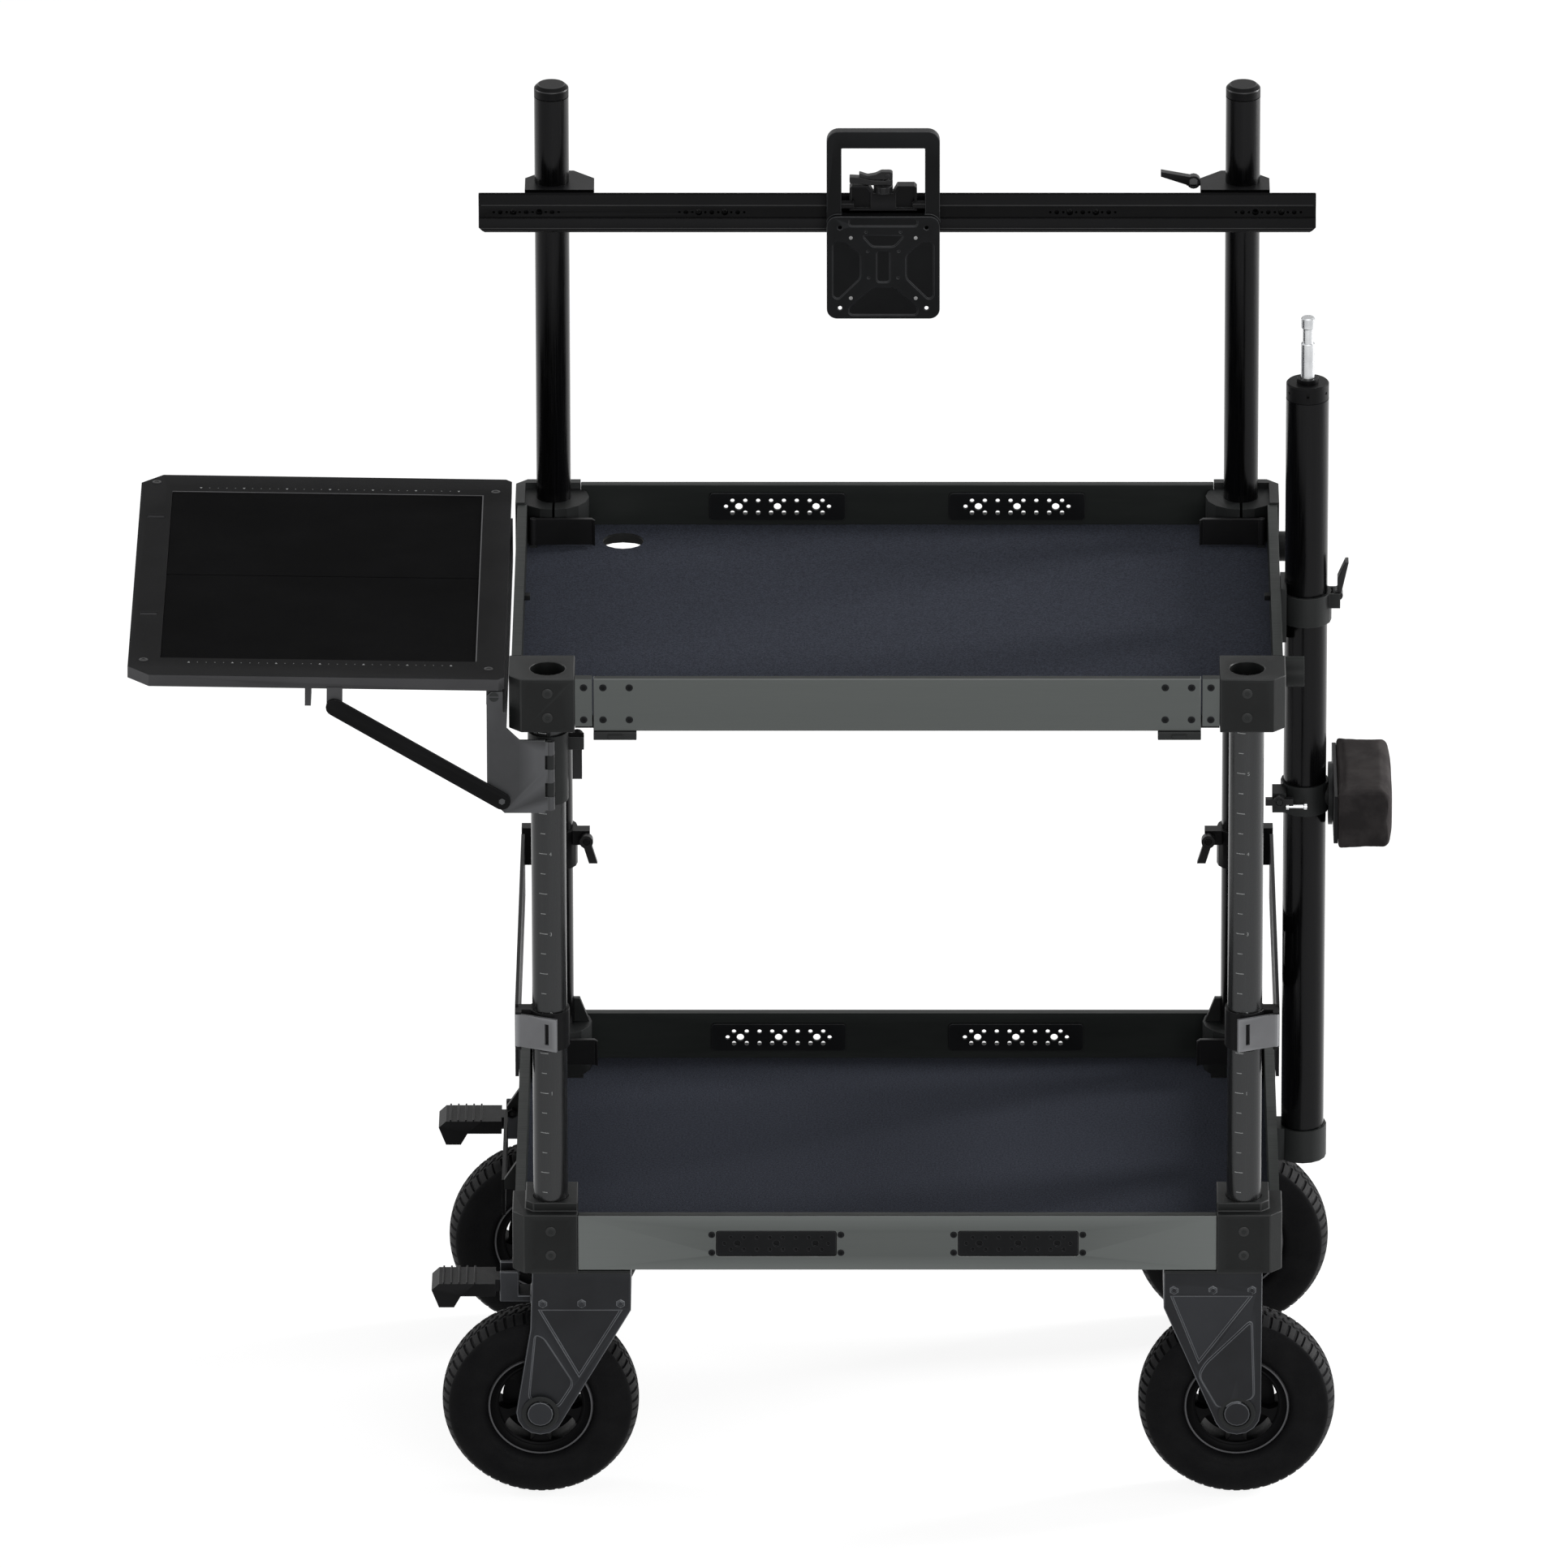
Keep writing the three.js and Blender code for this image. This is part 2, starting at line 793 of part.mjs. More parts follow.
function group(parent, x = 0, y = 0, z = 0) {
  const holder = new THREE.Group();
  holder.position.set(x, y, z);
  parent.add(holder);
  return holder;
}

// Posts

function frontPost() {
  const length = upperRailTop - frontPostDrop - postFootZ;
  return cut(
    rod('z', postRadius, 0, length),
    rod('z', postBore, -overrun, length + overrun),
  );
}

function backPost() {
  const length = backPostTop - postFootZ;
  const body = turned('z', [
    [0, 0],
    [postRadius, 0],
    [postRadius, length - capChamfer],
    [postRadius - capChamfer, length],
    [0, length],
  ]);
  return cut(body, rod('z', postBore, -overrun, length - capHeight));
}

// Corner castings, built for the right front corner

function cornerOutline() {
  return [
    [cornerInnerX, -cornerFrontY],
    [cornerOuterX - cornerChamfer, -cornerFrontY],
    [cornerOuterX, -cornerFrontY + cornerChamfer],
    [cornerOuterX, -cornerInnerY],
    [cornerInnerX, -cornerInnerY],
  ];
}

function cornerScrews(middleZ) {
  const face = -cornerFrontY;
  return [-1, 1].map((step) => rod(
    'y', screwRadius, face - screwProud, face + screwProud,
    postX, middleZ + step * cornerScrewRise / 2, smallSides,
  ));
}

function postTunnel(fromZ) {
  return rod('z', postRadius + seat, fromZ, backPostTop, postX, -postY);
}

// The round clamp housing that holds a back post, with its slit and its lug for the flip lever
function clampHousing(carpetTop, housingTop, leverZ) {
  const from = carpetTop - carpetThick + seat;
  const room = box(0, cornerOuterX - railThick, -cornerFrontY + railThick / 2, 0, from, housingTop);
  const round = rod('z', housingRadius, from, housingTop, postX, -postY).intersect(room);
  const lug = box(
    flipPivotX - flipLugWidth / 2, flipPivotX + flipLugWidth / 2,
    -flipY + flipHubRadius, -postY, from, leverZ - seat,
  );
  const pin = rod('z', flipPinRadius, from, leverZ + flipHeight, flipPivotX, -flipY, smallSides);
  const slit = box(
    postX - clampSlot / 2, postX + clampSlot / 2,
    -postY, -flipY, from, housingTop + overrun,
  );
  return join(cut(join(round, lug), slit), pin);
}

// The room that a back rail's end takes from a clamp housing
function railEnd(carpetTop, toZ) {
  const from = carpetTop - carpetThick;
  return box(0, cornerInnerX, -shelfHalfDepth - overrun, -deckHalfY + seat, from, toZ);
}

function lowerCorner(isBack) {
  const plateTop = lowerDeckBottom - seat;
  const plateBottom = forkTop + seat;
  const block = prism('z', cornerOutline(), lowerCornerBottom, lowerCornerTop);
  const plate = box(
    kingpinX - casterPlateHalf, kingpinX + casterPlateHalf,
    -kingpinY - casterPlateHalf, -kingpinY + casterPlateHalf, plateBottom, plateTop,
  );
  const root = box(
    cornerInnerX, kingpinX + casterPlateHalf,
    -kingpinY - casterPlateHalf, -cornerInnerY, plateBottom, lowerCornerTop,
  );
  const kingpinHole = rod(
    'z', kingpinRadius + seat, plateBottom - overrun, plateTop, kingpinX, -kingpinY,
  );
  let body = join(block, plate, root, ...cornerScrews((lowerRailBottom + lowerRailTop) / 2));
  if (isBack) {
    const yard = box(
      0, cornerOuterX - railThick, -cornerFrontY + railThick, -cornerInnerY + overrun,
      lowerCarpetTop + seat, lowerCornerTop + overrun,
    );
    const fin = prism('y', [
      [postX - postRadius - gussetReach / 2, lowerHousingTop],
      [postX, lowerHousingTop],
      [postX, gussetTop],
      [postX - postRadius - gussetThick, gussetTop],
    ], -postY - gussetThick, -postY);
    const housing = clampHousing(lowerCarpetTop, lowerHousingTop, lowerFlipZ);
    body = join(cut(body, yard), cut(join(housing, fin), railEnd(lowerCarpetTop, gussetTop)));
  } else {
    const plinth = prism('z', [
      [cornerInnerX, -plinthY],
      [plinthX - plinthChamfer, -plinthY],
      [plinthX, -plinthY + plinthChamfer],
      [plinthX, -cornerInnerY],
      [cornerInnerX, -cornerInnerY],
    ], lowerCornerBottom, lowerCornerTop + plinthRise);
    body = join(body, plinth);
  }
  return cut(body, kingpinHole, postTunnel(postFootZ - seat));
}

function upperCorner(isBack) {
  const top = isBack ? upperWallTop : upperRailTop;
  const block = prism('z', cornerOutline(), upperDeckBottom, top);
  let body = join(block, ...cornerScrews((upperRailBottom + upperRailTop) / 2));
  if (isBack) {
    const yard = box(
      0, cornerOuterX - railThick, -cornerFrontY + railThick, -cornerInnerY + overrun,
      upperCarpetTop + seat, upperWallTop + overrun,
    );
    const housing = clampHousing(upperCarpetTop, upperHousingTop, upperFlipZ);
    body = join(cut(body, yard), cut(housing, railEnd(upperCarpetTop, upperWallTop)));
  }
  return cut(body, postTunnel(-overrun));
}

// Flip lever of a post clamp, built at its pivot for the right side
function flipLever() {
  const arm = prism('z', [
    [0, -flipThick / 2],
    [-flipLength + flipCurl, -flipThick / 2],
    [-flipLength, -flipThick / 2 - flipCurl],
    [-flipLength, -flipThick / 2 - flipCurl / 2],
    [-flipLength + flipCurl, flipThick / 2],
    [0, flipThick / 2],
  ], 0, flipHeight);
  const hub = rod('z', flipHubRadius, 0, flipHeight);
  const bore = rod('z', flipPinRadius + seat, -overrun, flipHeight + overrun, 0, 0, boreSides);
  return cut(join(arm, hub), bore);
}

// Rails

function plateHoles(fromY, toY, z) {
  const holes = [];
  for (const side of [-1, 1]) {
    for (const step of [-1, 0, 1]) {
      const x = side * platePitchX + step * plateHolePitch;
      holes.push(rod('y', plateHoleRadius, fromY, toY, x, z, smallSides));
    }
  }
  return holes;
}

function lowerFrontRail() {
  const z = lowerRailBottom + frontPlateRise + frontPlateHeight / 2;
  const face = -shelfHalfDepth;
  const bar = box(-railHalf, railHalf, face, -deckHalfY, lowerRailBottom, lowerRailTop);
  const recesses = [-1, 1].map((side) => box(
    side * platePitchX - frontPlateHalf, side * platePitchX + frontPlateHalf,
    face - overrun, face + frontPlateDepth,
    z - frontPlateHeight / 2, z + frontPlateHeight / 2,
  ));
  return cut(bar, ...recesses, ...plateHoles(face - overrun, -deckHalfY + overrun, z));
}

function backRail(bottom, top) {
  const z = bottom + plateRise + plateHeight / 2;
  const bar = box(-railHalf, railHalf, deckHalfY, shelfHalfDepth, bottom, top);
  const plates = [-1, 1].map((side) => box(
    side * platePitchX - plateHalfWidth, side * platePitchX + plateHalfWidth,
    deckHalfY - plateThick, deckHalfY + plateThick, z - plateHeight / 2, z + plateHeight / 2,
  ));
  const holes = plateHoles(deckHalfY - plateThick - overrun, shelfHalfDepth + overrun, z);
  return cut(join(bar, ...plates), ...holes);
}

// Trays: the carpeted deck with both side rails

// The carpet is left out under the clamp housing and the lever lug of each back post
function carpetPockets(carpetTop) {
  const from = carpetTop - carpetThick;
  const to = carpetTop + overrun;
  const lugHalf = flipLugWidth / 2 + seat;
  const lugFront = flipY - flipHubRadius - seat;
  return [-1, 1].flatMap((side) => [
    rod('z', housingRadius + seat, from, to, side * postX, postY),
    box(side * (flipPivotX - lugHalf), side * (flipPivotX + lugHalf), lugFront, postY, from, to),
  ]);
}

function trayBase(deckBottom, carpetTop, railBottom, railTop) {
  const deck = box(-deckHalfX, deckHalfX, -deckHalfY + seat, deckHalfY - seat, deckBottom, carpetTop);
  const cornerRooms = [-1, 1].flatMap((x) => [-1, 1].map((y) => box(
    x * (cornerInnerX - seat), x * (cornerOuterX + overrun),
    y * (cornerInnerY - seat), y * (cornerFrontY + overrun),
    deckBottom - overrun, carpetTop + overrun,
  )));
  const rails = [-1, 1].map((x) => box(
    x * (deckHalfX - seat), x * shelfHalfWidth,
    -cornerInnerY + seat, cornerInnerY - seat, railBottom, railTop,
  ));
  return join(cut(deck, ...cornerRooms, ...carpetPockets(carpetTop)), ...rails);
}

function mastCup() {
  const arm = box(shelfHalfWidth - seat, mastX, -cupArmHalf, cupArmHalf, cupBottom, cupTop);
  const cup = rod('z', cupRadius, cupBottom, cupTop, mastX, 0);
  const socket = rod('z', mastRadius + seat, mastBottom - seat, cupTop + overrun, mastX, 0);
  return cut(join(arm, cup), socket);
}

// The fixed lugs on the left rail that carry the side flap
function flapLugs() {
  const wall = -shelfHalfWidth + seat;
  const tip = -flapAxisX - flapBarrelRadius;
  const lugs = [-1, 1].map((side) => prism('y', [
    [wall, flapAxisZ - flapBarrelRadius],
    [tip, flapAxisZ - flapBarrelRadius],
    [tip, flapAxisZ + flapBarrelRadius],
    [wall, flapGussetTop],
  ], side * (flapLugY - flapLugHalf), side * (flapLugY + flapLugHalf)));
  const pins = [-1, 1].map((side) => rod(
    'y', flapPinRadius, side * (flapLugY - flapLugHalf - 2 * flapEarHalf), side * flapLugY,
    -flapAxisX, flapAxisZ, smallSides,
  ));
  return [...lugs, ...pins];
}

function lowerTray() {
  const base = trayBase(lowerDeckBottom, lowerCarpetTop, lowerRailBottom, lowerRailTop);
  return join(base, mastCup(), ...flapLugs());
}

function gateKnuckle(fromX, toX) {
  const y = -shelfHalfDepth - gateHingeForward;
  return rod('x', gateHingeRadius, fromX, toX, y, upperRailBottom - gateHingeDrop, smallSides);
}

function upperTray() {
  const axisY = -shelfHalfDepth - gateHingeForward;
  const axisZ = upperRailBottom - gateHingeDrop;
  const stubs = [-1, 1].map((side) => box(
    side * (gateHalf + stubGap), side * railHalf,
    -shelfHalfDepth, -deckHalfY + railThick, upperRailBottom + stubBottomRise, upperRailTop,
  ));
  const third = gateLeafLength / 3;
  const leafBack = -deckHalfY + railThick;
  const leaves = [-1, 1].flatMap((side) => {
    const near = side * (gateHalf - 2 * third);
    const far = side * (gateHalf - third);
    return [
      gateKnuckle(near, far),
      box(near, far, axisY, leafBack, axisZ - gateHingeRadius / 2, axisZ + gateHingeRadius / 2),
      box(near, far, -deckHalfY + seat, leafBack, axisZ - gateHingeRadius / 2, upperCarpetTop),
    ];
  });
  const pegs = [-1, 1].map((side) => rod(
    'x', pegRadius, shelfHalfWidth - seat, shelfHalfWidth + pegLength, side * pegY, pegZ,
  ));
  const knobs = [-1, 1].map((side) => rod(
    'x', sideKnobRadius, side * (deckHalfX - sideKnobReach), side * deckHalfX, 0, sideKnobZ, smallSides,
  ));
  const base = trayBase(upperDeckBottom, upperCarpetTop, upperRailBottom, upperRailTop);
  const cableHole = rod(
    'z', cableHoleRadius, upperDeckBottom - overrun, upperCarpetTop + overrun, -cableHoleX, cableHoleY,
  );
  const relief = rod(
    'z', cableHoleRadius + cableHoleRelief, upperDeckBottom - overrun, upperCarpetTop - cableHoleLip,
    -cableHoleX, cableHoleY,
  );
  return cut(join(base, ...stubs, ...leaves, ...pegs, ...knobs), cableHole, relief);
}

// Front gate, built at its hinge axis
function frontGate() {
  const third = gateLeafLength / 3;
  const panel = box(
    -gateHalf, gateHalf, gateHingeForward, gateHingeForward + gateThick,
    gateHingeDrop, upperRailTop - upperRailBottom + gateHingeDrop,
  );
  const knuckles = [-1, 1].flatMap((side) => [
    [gateHalf - third + seat, gateHalf],
    [gateHalf - gateLeafLength, gateHalf - 2 * third - seat],
  ].flatMap(([from, to]) => [
    rod('x', gateHingeRadius, side * from, side * to, 0, 0, smallSides),
    box(
      side * from, side * to, 0, gateHingeForward + gateHingeRadius,
      0, gateHingeDrop + gateHingeRadius,
    ),
  ]));
  return join(panel, ...knuckles);
}

// Side flap, built at its hinge axis on the left rail
function sideFlap() {
  const end = flapLugY - flapLugHalf - seat;
  const plateInner = -flapOuter + flapPlateThick;
  const plate = box(-flapOuter, plateInner, -end, end, flapBottom - flapAxisZ, flapBarrelRadius / 2);
  const window = box(
    -flapOuter - overrun, plateInner + overrun,
    -end + 2 * flapOuter, end - 2 * flapOuter,
    flapBottom - flapAxisZ + flapOuter, -flapBarrelRadius,
  );
  const ears = [-1, 1].flatMap((side) => {
    const inner = side * (end - 2 * flapEarHalf);
    const ear = join(
      rod('y', flapBarrelRadius, inner, side * end, 0, 0, smallSides),
      box(-flapOuter, 0, inner, side * end, -flapBarrelRadius / 2, flapBarrelRadius / 2),
    );
    return [cut(ear, rod('y', flapPinRadius + seat, -end - overrun, end + overrun, 0, 0, boreSides))];
  });
  return join(cut(plate, window), ...ears);
}

// Casters, built round the kingpin for the right side, with +X pointing outwards

function forkOutline({ trail, shoulderDrop, edge, edgeDrop }) {
  const shoulderZ = forkTop - shoulderDrop;
  const across = trail + forkBlockHalf;
  const down = wheelRadius - shoulderZ;
  const length = Math.hypot(across, down);
  return [
    [-forkBlockHalf, forkTop],
    [forkBlockHalf, forkTop],
    [edge, forkTop - edgeDrop],
    [trail + bossRadius, wheelRadius],
    [trail, wheelRadius],
    [trail + bossRadius * down / length, wheelRadius - bossRadius * across / length],
    [-forkBlockHalf, shoulderZ],
  ];
}

function clevis() {
  const wing = box(
    forkBlockHalf - forkPlate, clevisTo, -clevisHalf, clevisHalf, clevisBottom, clevisBottom + forkPlate,
  );
  const cheeks = [-1, 1].map((side) => box(
    clevisFrom, clevisTo, side * (clevisHalf - clevisCheek), side * clevisHalf, clevisBottom, clevisTop,
  ));
  const pin = rod('y', pedalPinRadius, -clevisHalf, clevisHalf, pedalPivot, pedalPivotZ, smallSides);
  return [wing, ...cheeks, pin];
}

function casterFork(plan) {
  const { trail, blockDrop, recess } = plan;
  const plates = prism('y', forkOutline(plan), -forkHalfWidth, forkHalfWidth);
  const boss = rod('y', bossRadius, -forkHalfWidth, forkHalfWidth, trail, wheelRadius);
  const inside = forkHalfWidth - forkPlate;
  const ceiling = 2 * wheelRadius + forkThroat;
  const throat = box(-wheelRadius, 2 * wheelRadius, -inside, inside, 0, ceiling);
  const recessShape = [
    [-recess.inner, forkTop - recess.drop],
    [recess.outer, forkTop - recess.drop],
    [recess.tip, wheelRadius + recess.tipRise],
  ];
  const pockets = [-1, 1].map((side) => prism(
    'y', recessShape, side * (forkHalfWidth - forkPocketDepth), side * (forkHalfWidth + overrun),
  ));
  const screws = [-1, 0, 1].flatMap((step) => [-1, 1].map((side) => rod(
    'y', forkScrewRadius, side * (forkHalfWidth - screwProud), side * (forkHalfWidth + screwProud),
    step * forkScrewSpread, forkTop - blockDrop - forkScrewDrop, smallSides,
  )));
  const axle = rod('y', axleRadius, -forkHalfWidth, forkHalfWidth, trail, wheelRadius, smallSides);
  const capReach = forkHalfWidth + axleCapProud;
  const caps = [-1, 1].map((side) => rod(
    'y', axleCapRadius, side * (forkHalfWidth - screwProud), side * capReach, trail, wheelRadius,
  ));
  const kingpin = rod('z', kingpinRadius, forkTop - overrun, lowerDeckBottom - 2 * seat);
  const body = cut(join(plates, boss), throat, ...pockets);
  const extra = plan.braked
    ? clevis()
    : [rod('x', lockBoltRadius, -forkBlockHalf - lockBoltLength, 0, 0, forkTop - lockBoltDrop, smallSides)];
  return join(body, ...screws, axle, ...caps, kingpin, ...extra);
}

function brakePedal() {
  const top = pedalTopZ;
  const rootHalf = clevisHalf - clevisCheek - seat;
  const root = join(
    rod('y', pedalRootRadius, -rootHalf, rootHalf, pedalPivot, pedalPivotZ),
    box(
      pedalPivot, clevisTo + 2 * clevisCheek, -rootHalf, rootHalf,
      pedalPivotZ - pedalRootRadius, top,
    ),
  );
  const paddle = prism('y', [
    [clevisTo + clevisCheek, top],
    [pedalTip - pedalToeBevel, top],
    [pedalTip, top - pedalThick / 2],
    [pedalTip - pedalToeBevel, top - pedalToeDrop],
    [pedalTip - pedalToeLength, top - pedalToeDrop],
    [pedalTip - pedalToeLength - pedalToeSlope, top - pedalThick],
    [clevisTo + clevisCheek, top - pedalThick],
  ], -pedalHalf, pedalHalf);
  const ridges = [];
  for (let i = 0; i < pedalRidges; i += 1) {
    const x = pedalTip - pedalToeLength / 2 - i * pedalRidgePitch;
    ridges.push(box(x - pedalRidge, x, -pedalHalf, pedalHalf, top - pedalRidge, top + pedalRidge));
  }
  const bore = rod(
    'y', pedalPinRadius + seat, -pedalHalf - overrun, pedalHalf + overrun,
    pedalPivot, pedalPivotZ, boreSides,
  );
  return cut(join(root, paddle, ...ridges), bore);
}

function wheelRim() {
  const bore = axleRadius + seat;
  const inner = rimRadius - rimWall;
  const side = [
    [bore, hubHalfWidth],
    [hubRadius, hubHalfWidth],
    [hubRadius, rimWebHalf],
    [inner, rimWebHalf],
    [inner, rimHalfWidth],
    [rimRadius, rimHalfWidth],
  ];
  const other = side.map(([radius, along]) => [radius, -along]).reverse();
  const body = turned('y', [...side, ...other, side[0]], 0, 0, wheelSides);
  const windows = [];
  for (let i = 0; i < spokeWindows; i += 1) {
    const angle = i / spokeWindows * 2 * Math.PI;
    const reach = (hubRadius + inner) / 2;
    windows.push(rod(
      'y', windowRadius, -rimHalfWidth, rimHalfWidth,
      reach * Math.cos(angle), reach * Math.sin(angle), smallSides,
    ));
  }
  return cut(body, ...windows);
}

function tyre() {
  const side = [
    [rimRadius + seat, rimHalfWidth],
    [wheelRadius - tyreSideDrop, tyreHalfWidth],
    [wheelRadius - tyreShoulderDrop, tyreShoulderHalf],
    [wheelRadius, tyreFlatHalf],
  ];
  const other = side.map(([radius, along]) => [radius, -along]).reverse();
  return turned('y', [...side, ...other, side[0]], 0, 0, wheelSides);
}

// Side plates, latches and collar levers, built for the right side

function latchFrame() {
  const along = new THREE.Vector2(Math.cos(latchTurn), Math.sin(latchTurn));
  const out = new THREE.Vector2(along.y, -along.x);
  const reach = frontRingRadius + seat + latchThick / 2;
  const x = postX + out.x * reach + along.x * latchPivotAlong;
  const y = -postY + out.y * reach + along.y * latchPivotAlong;
  return { x, y };
}

function sidePlate() {
  const inner = sideOuterX - sideThick;
  const panel = prism('x', [
    [-sideFrontY, sideBottom],
    [sideBackY, sideBottom],
    [sideBackY, sideTop - sideChamfer],
    [sideBackY - sideChamfer, sideTop],
    [-sideFrontY, sideTop],
  ], inner, sideOuterX);
  const slots = [];
  const middle = (sideBottom + sideTop) / 2;
  for (let i = 0; i < sideSlots; i += 1) {
    const y = (i - (sideSlots - 1) / 2) * sideSlotPitch;
    slots.push(box(
      inner - overrun, sideOuterX + overrun, y - sideSlotWidth / 2, y + sideSlotWidth / 2,
      middle - sideSlotHeight / 2, middle + sideSlotHeight / 2,
    ));
  }
  const rings = [[-postY, frontRingRadius], [postY, backRingRadius]].flatMap(([y, radius]) => [
    rod('z', radius, ringBottom, ringTop, postX, y),
    box(
      postX + radius - ringLugOverlap, sideOuterX,
      y - ringLugHalf, y + ringLugHalf, ringBottom, ringTop,
    ),
  ]);
  const bores = [-1, 1].map((side) => rod(
    'z', postRadius + seat, ringBottom - overrun, ringTop + overrun, postX, side * postY,
  ));
  const { x, y } = latchFrame();
  const leaves = [ringBottom, ringTop - latchLeaf].map((from) => box(
    x - latchKnuckleRadius, x + latchKnuckleRadius,
    y - latchKnuckleRadius, -sideFrontY + sideThick, from, from + latchLeaf,
  ));
  const latchPin = rod('z', latchPinRadius, ringBottom, ringTop, x, y, smallSides);
  const collarBoss = box(
    collarHubX - collarHubRadius / 2, postX - postRadius,
    collarHubY + collarHubHalf / 2, postY, collarHubZ - collarHubRadius, ringTop,
  );
  const collarPin = rod(
    'y', collarPinRadius, collarHubY - collarHubHalf, collarHubY + collarHubHalf,
    collarHubX, collarHubZ, smallSides,
  );
  const held = join(...rings, ...leaves, latchPin, collarBoss, collarPin);
  return cut(join(cut(panel, ...slots), held), ...bores);
}

function frontLatch() {
  const half = (ringTop - ringBottom) / 2 - latchLeaf - seat;
  const plate = box(-2 * latchHalf, 0, -latchThick / 2, latchThick / 2, -half, half);
  const knuckle = rod('z', latchKnuckleRadius, -half, half, 0, 0, smallSides);
  const slotX = -latchHalf - latchSlotOffset;
  const slot = box(
    slotX - latchSlotWidth / 2, slotX + latchSlotWidth / 2, -latchThick, latchThick,
    -latchSlotHeight / 2, latchSlotHeight / 2,
  );
  const bore = rod('z', latchPinRadius + seat, -half - overrun, half + overrun, 0, 0, boreSides);
  return cut(join(plate, knuckle), slot, bore);
}

function collarLever() {
  const back = collarHubHalf / 2 - seat;
  const hub = rod('y', collarHubRadius, -collarHubHalf, back);
  const arm = prism('y', [
    [-collarArmWidth / 2, 0],
    [collarArmWidth / 2, 0],
    [collarArmWidth / 2 - collarArmSway, -collarArmLength],
    [-collarArmWidth / 2 - collarArmSway, -collarArmLength],
  ], -collarHubHalf, 0);
  const bore = rod('y', collarPinRadius + seat, -2 * collarHubHalf, 2 * collarHubHalf, 0, 0, boreSides);
  return cut(join(hub, arm), bore);
}

// Crossbar

function crossbar() {
  const profile = [
    [barFrontY + barChamfer, barBottom],
    [barBackY - barChamfer, barBottom],
    [barBackY, barBottom + barChamfer],
    [barBackY, barTop - barChamfer],
    [barBackY - barChamfer, barTop],
    [barFrontY + barChamfer, barTop],
    [barFrontY, barTop - barChamfer],
    [barFrontY, barBottom + barGrooveTop],
    [barFrontY + barGrooveDepth, barBottom + barGrooveTop],
    [barFrontY + barGrooveDepth, barBottom + barGrooveBottom],
    [barFrontY, barBottom + barGrooveBottom],
    [barFrontY, barBottom + barChamfer],
  ];
  const ends = prism('y', [
    [-barHalf, barBottom + barEndLowChamfer],
    [-barHalf + barEndLowChamfer, barBottom],
    [barHalf - barEndLowChamfer, barBottom],
    [barHalf, barBottom + barEndLowChamfer],
    [barHalf, barTop - barEndTopChamfer],
    [barHalf - barEndTopChamfer, barTop],
    [-barHalf + barEndTopChamfer, barTop],
    [-barHalf, barTop - barEndTopChamfer],
  ], barFrontY, barBackY);
  const bar = prism('x', profile, -barHalf, barHalf).intersect(ends);
  const holeZ = barBottom + (barGrooveTop + barGrooveBottom) / 2;
  const holePlaces = [-barHoleOuter, -barHoleInner, barHoleInner, barHoleOuter];
  const holes = holePlaces.flatMap((x) => [-1, 1].map((step) => rod(
    'y', barHoleRadius, barFrontY - overrun, barBackY + overrun,
    x + step * barHolePitch / 2, holeZ, smallSides,
  )));
  const clamp = prism('z', [
    [clampFromX, barBackY - barChamfer],
    [clampToX, barBackY - barChamfer],
    [clampToX, clampBackY - clampCorner],
    [clampToX - clampCorner, clampBackY],
    [clampFromX + clampCorner, clampBackY],
    [clampFromX, clampBackY - clampCorner],
  ], clampBottom, clampTop);
  const bore = rod('z', postRadius + seat, clampBottom - overrun, clampTop + overrun, postX, postY);
  const held = cut(clamp, bore);
  const ear = box(
    barLeverX - barLeverHubRadius, clampFromX + clampCorner / 2,
    barLeverY, barLeverY + barLeverHubHeight,
    barLeverZ - barLeverHubRadius, barLeverZ + barLeverHubRadius,
  );
  const pin = rod(
    'y', barLeverPinRadius, barLeverY - barLeverHubHeight, barLeverY + barLeverHubHeight,
    barLeverX, barLeverZ, smallSides,
  );
  return join(cut(bar, ...holes), held, mirrored(held, 0), cut(ear, bore), pin);
}

function crossbarLever() {
  const hub = rod('y', barLeverHubRadius, -barLeverHubHeight, -seat);
  const arm = prism('y', [
    [0, -barLeverWidth / 2],
    [0, barLeverWidth / 2],
    [-barLeverLength, barLeverRise],
    [-barLeverLength, barLeverRise - barLeverWidth / 2],
  ], -barLeverHubHeight, -seat);
  const bore = rod('y', barLeverPinRadius + seat, -2 * barLeverHubHeight, overrun, 0, 0, boreSides);
  return cut(join(hub, arm), bore);
}

// Monitor carriage and head, built round X = 0

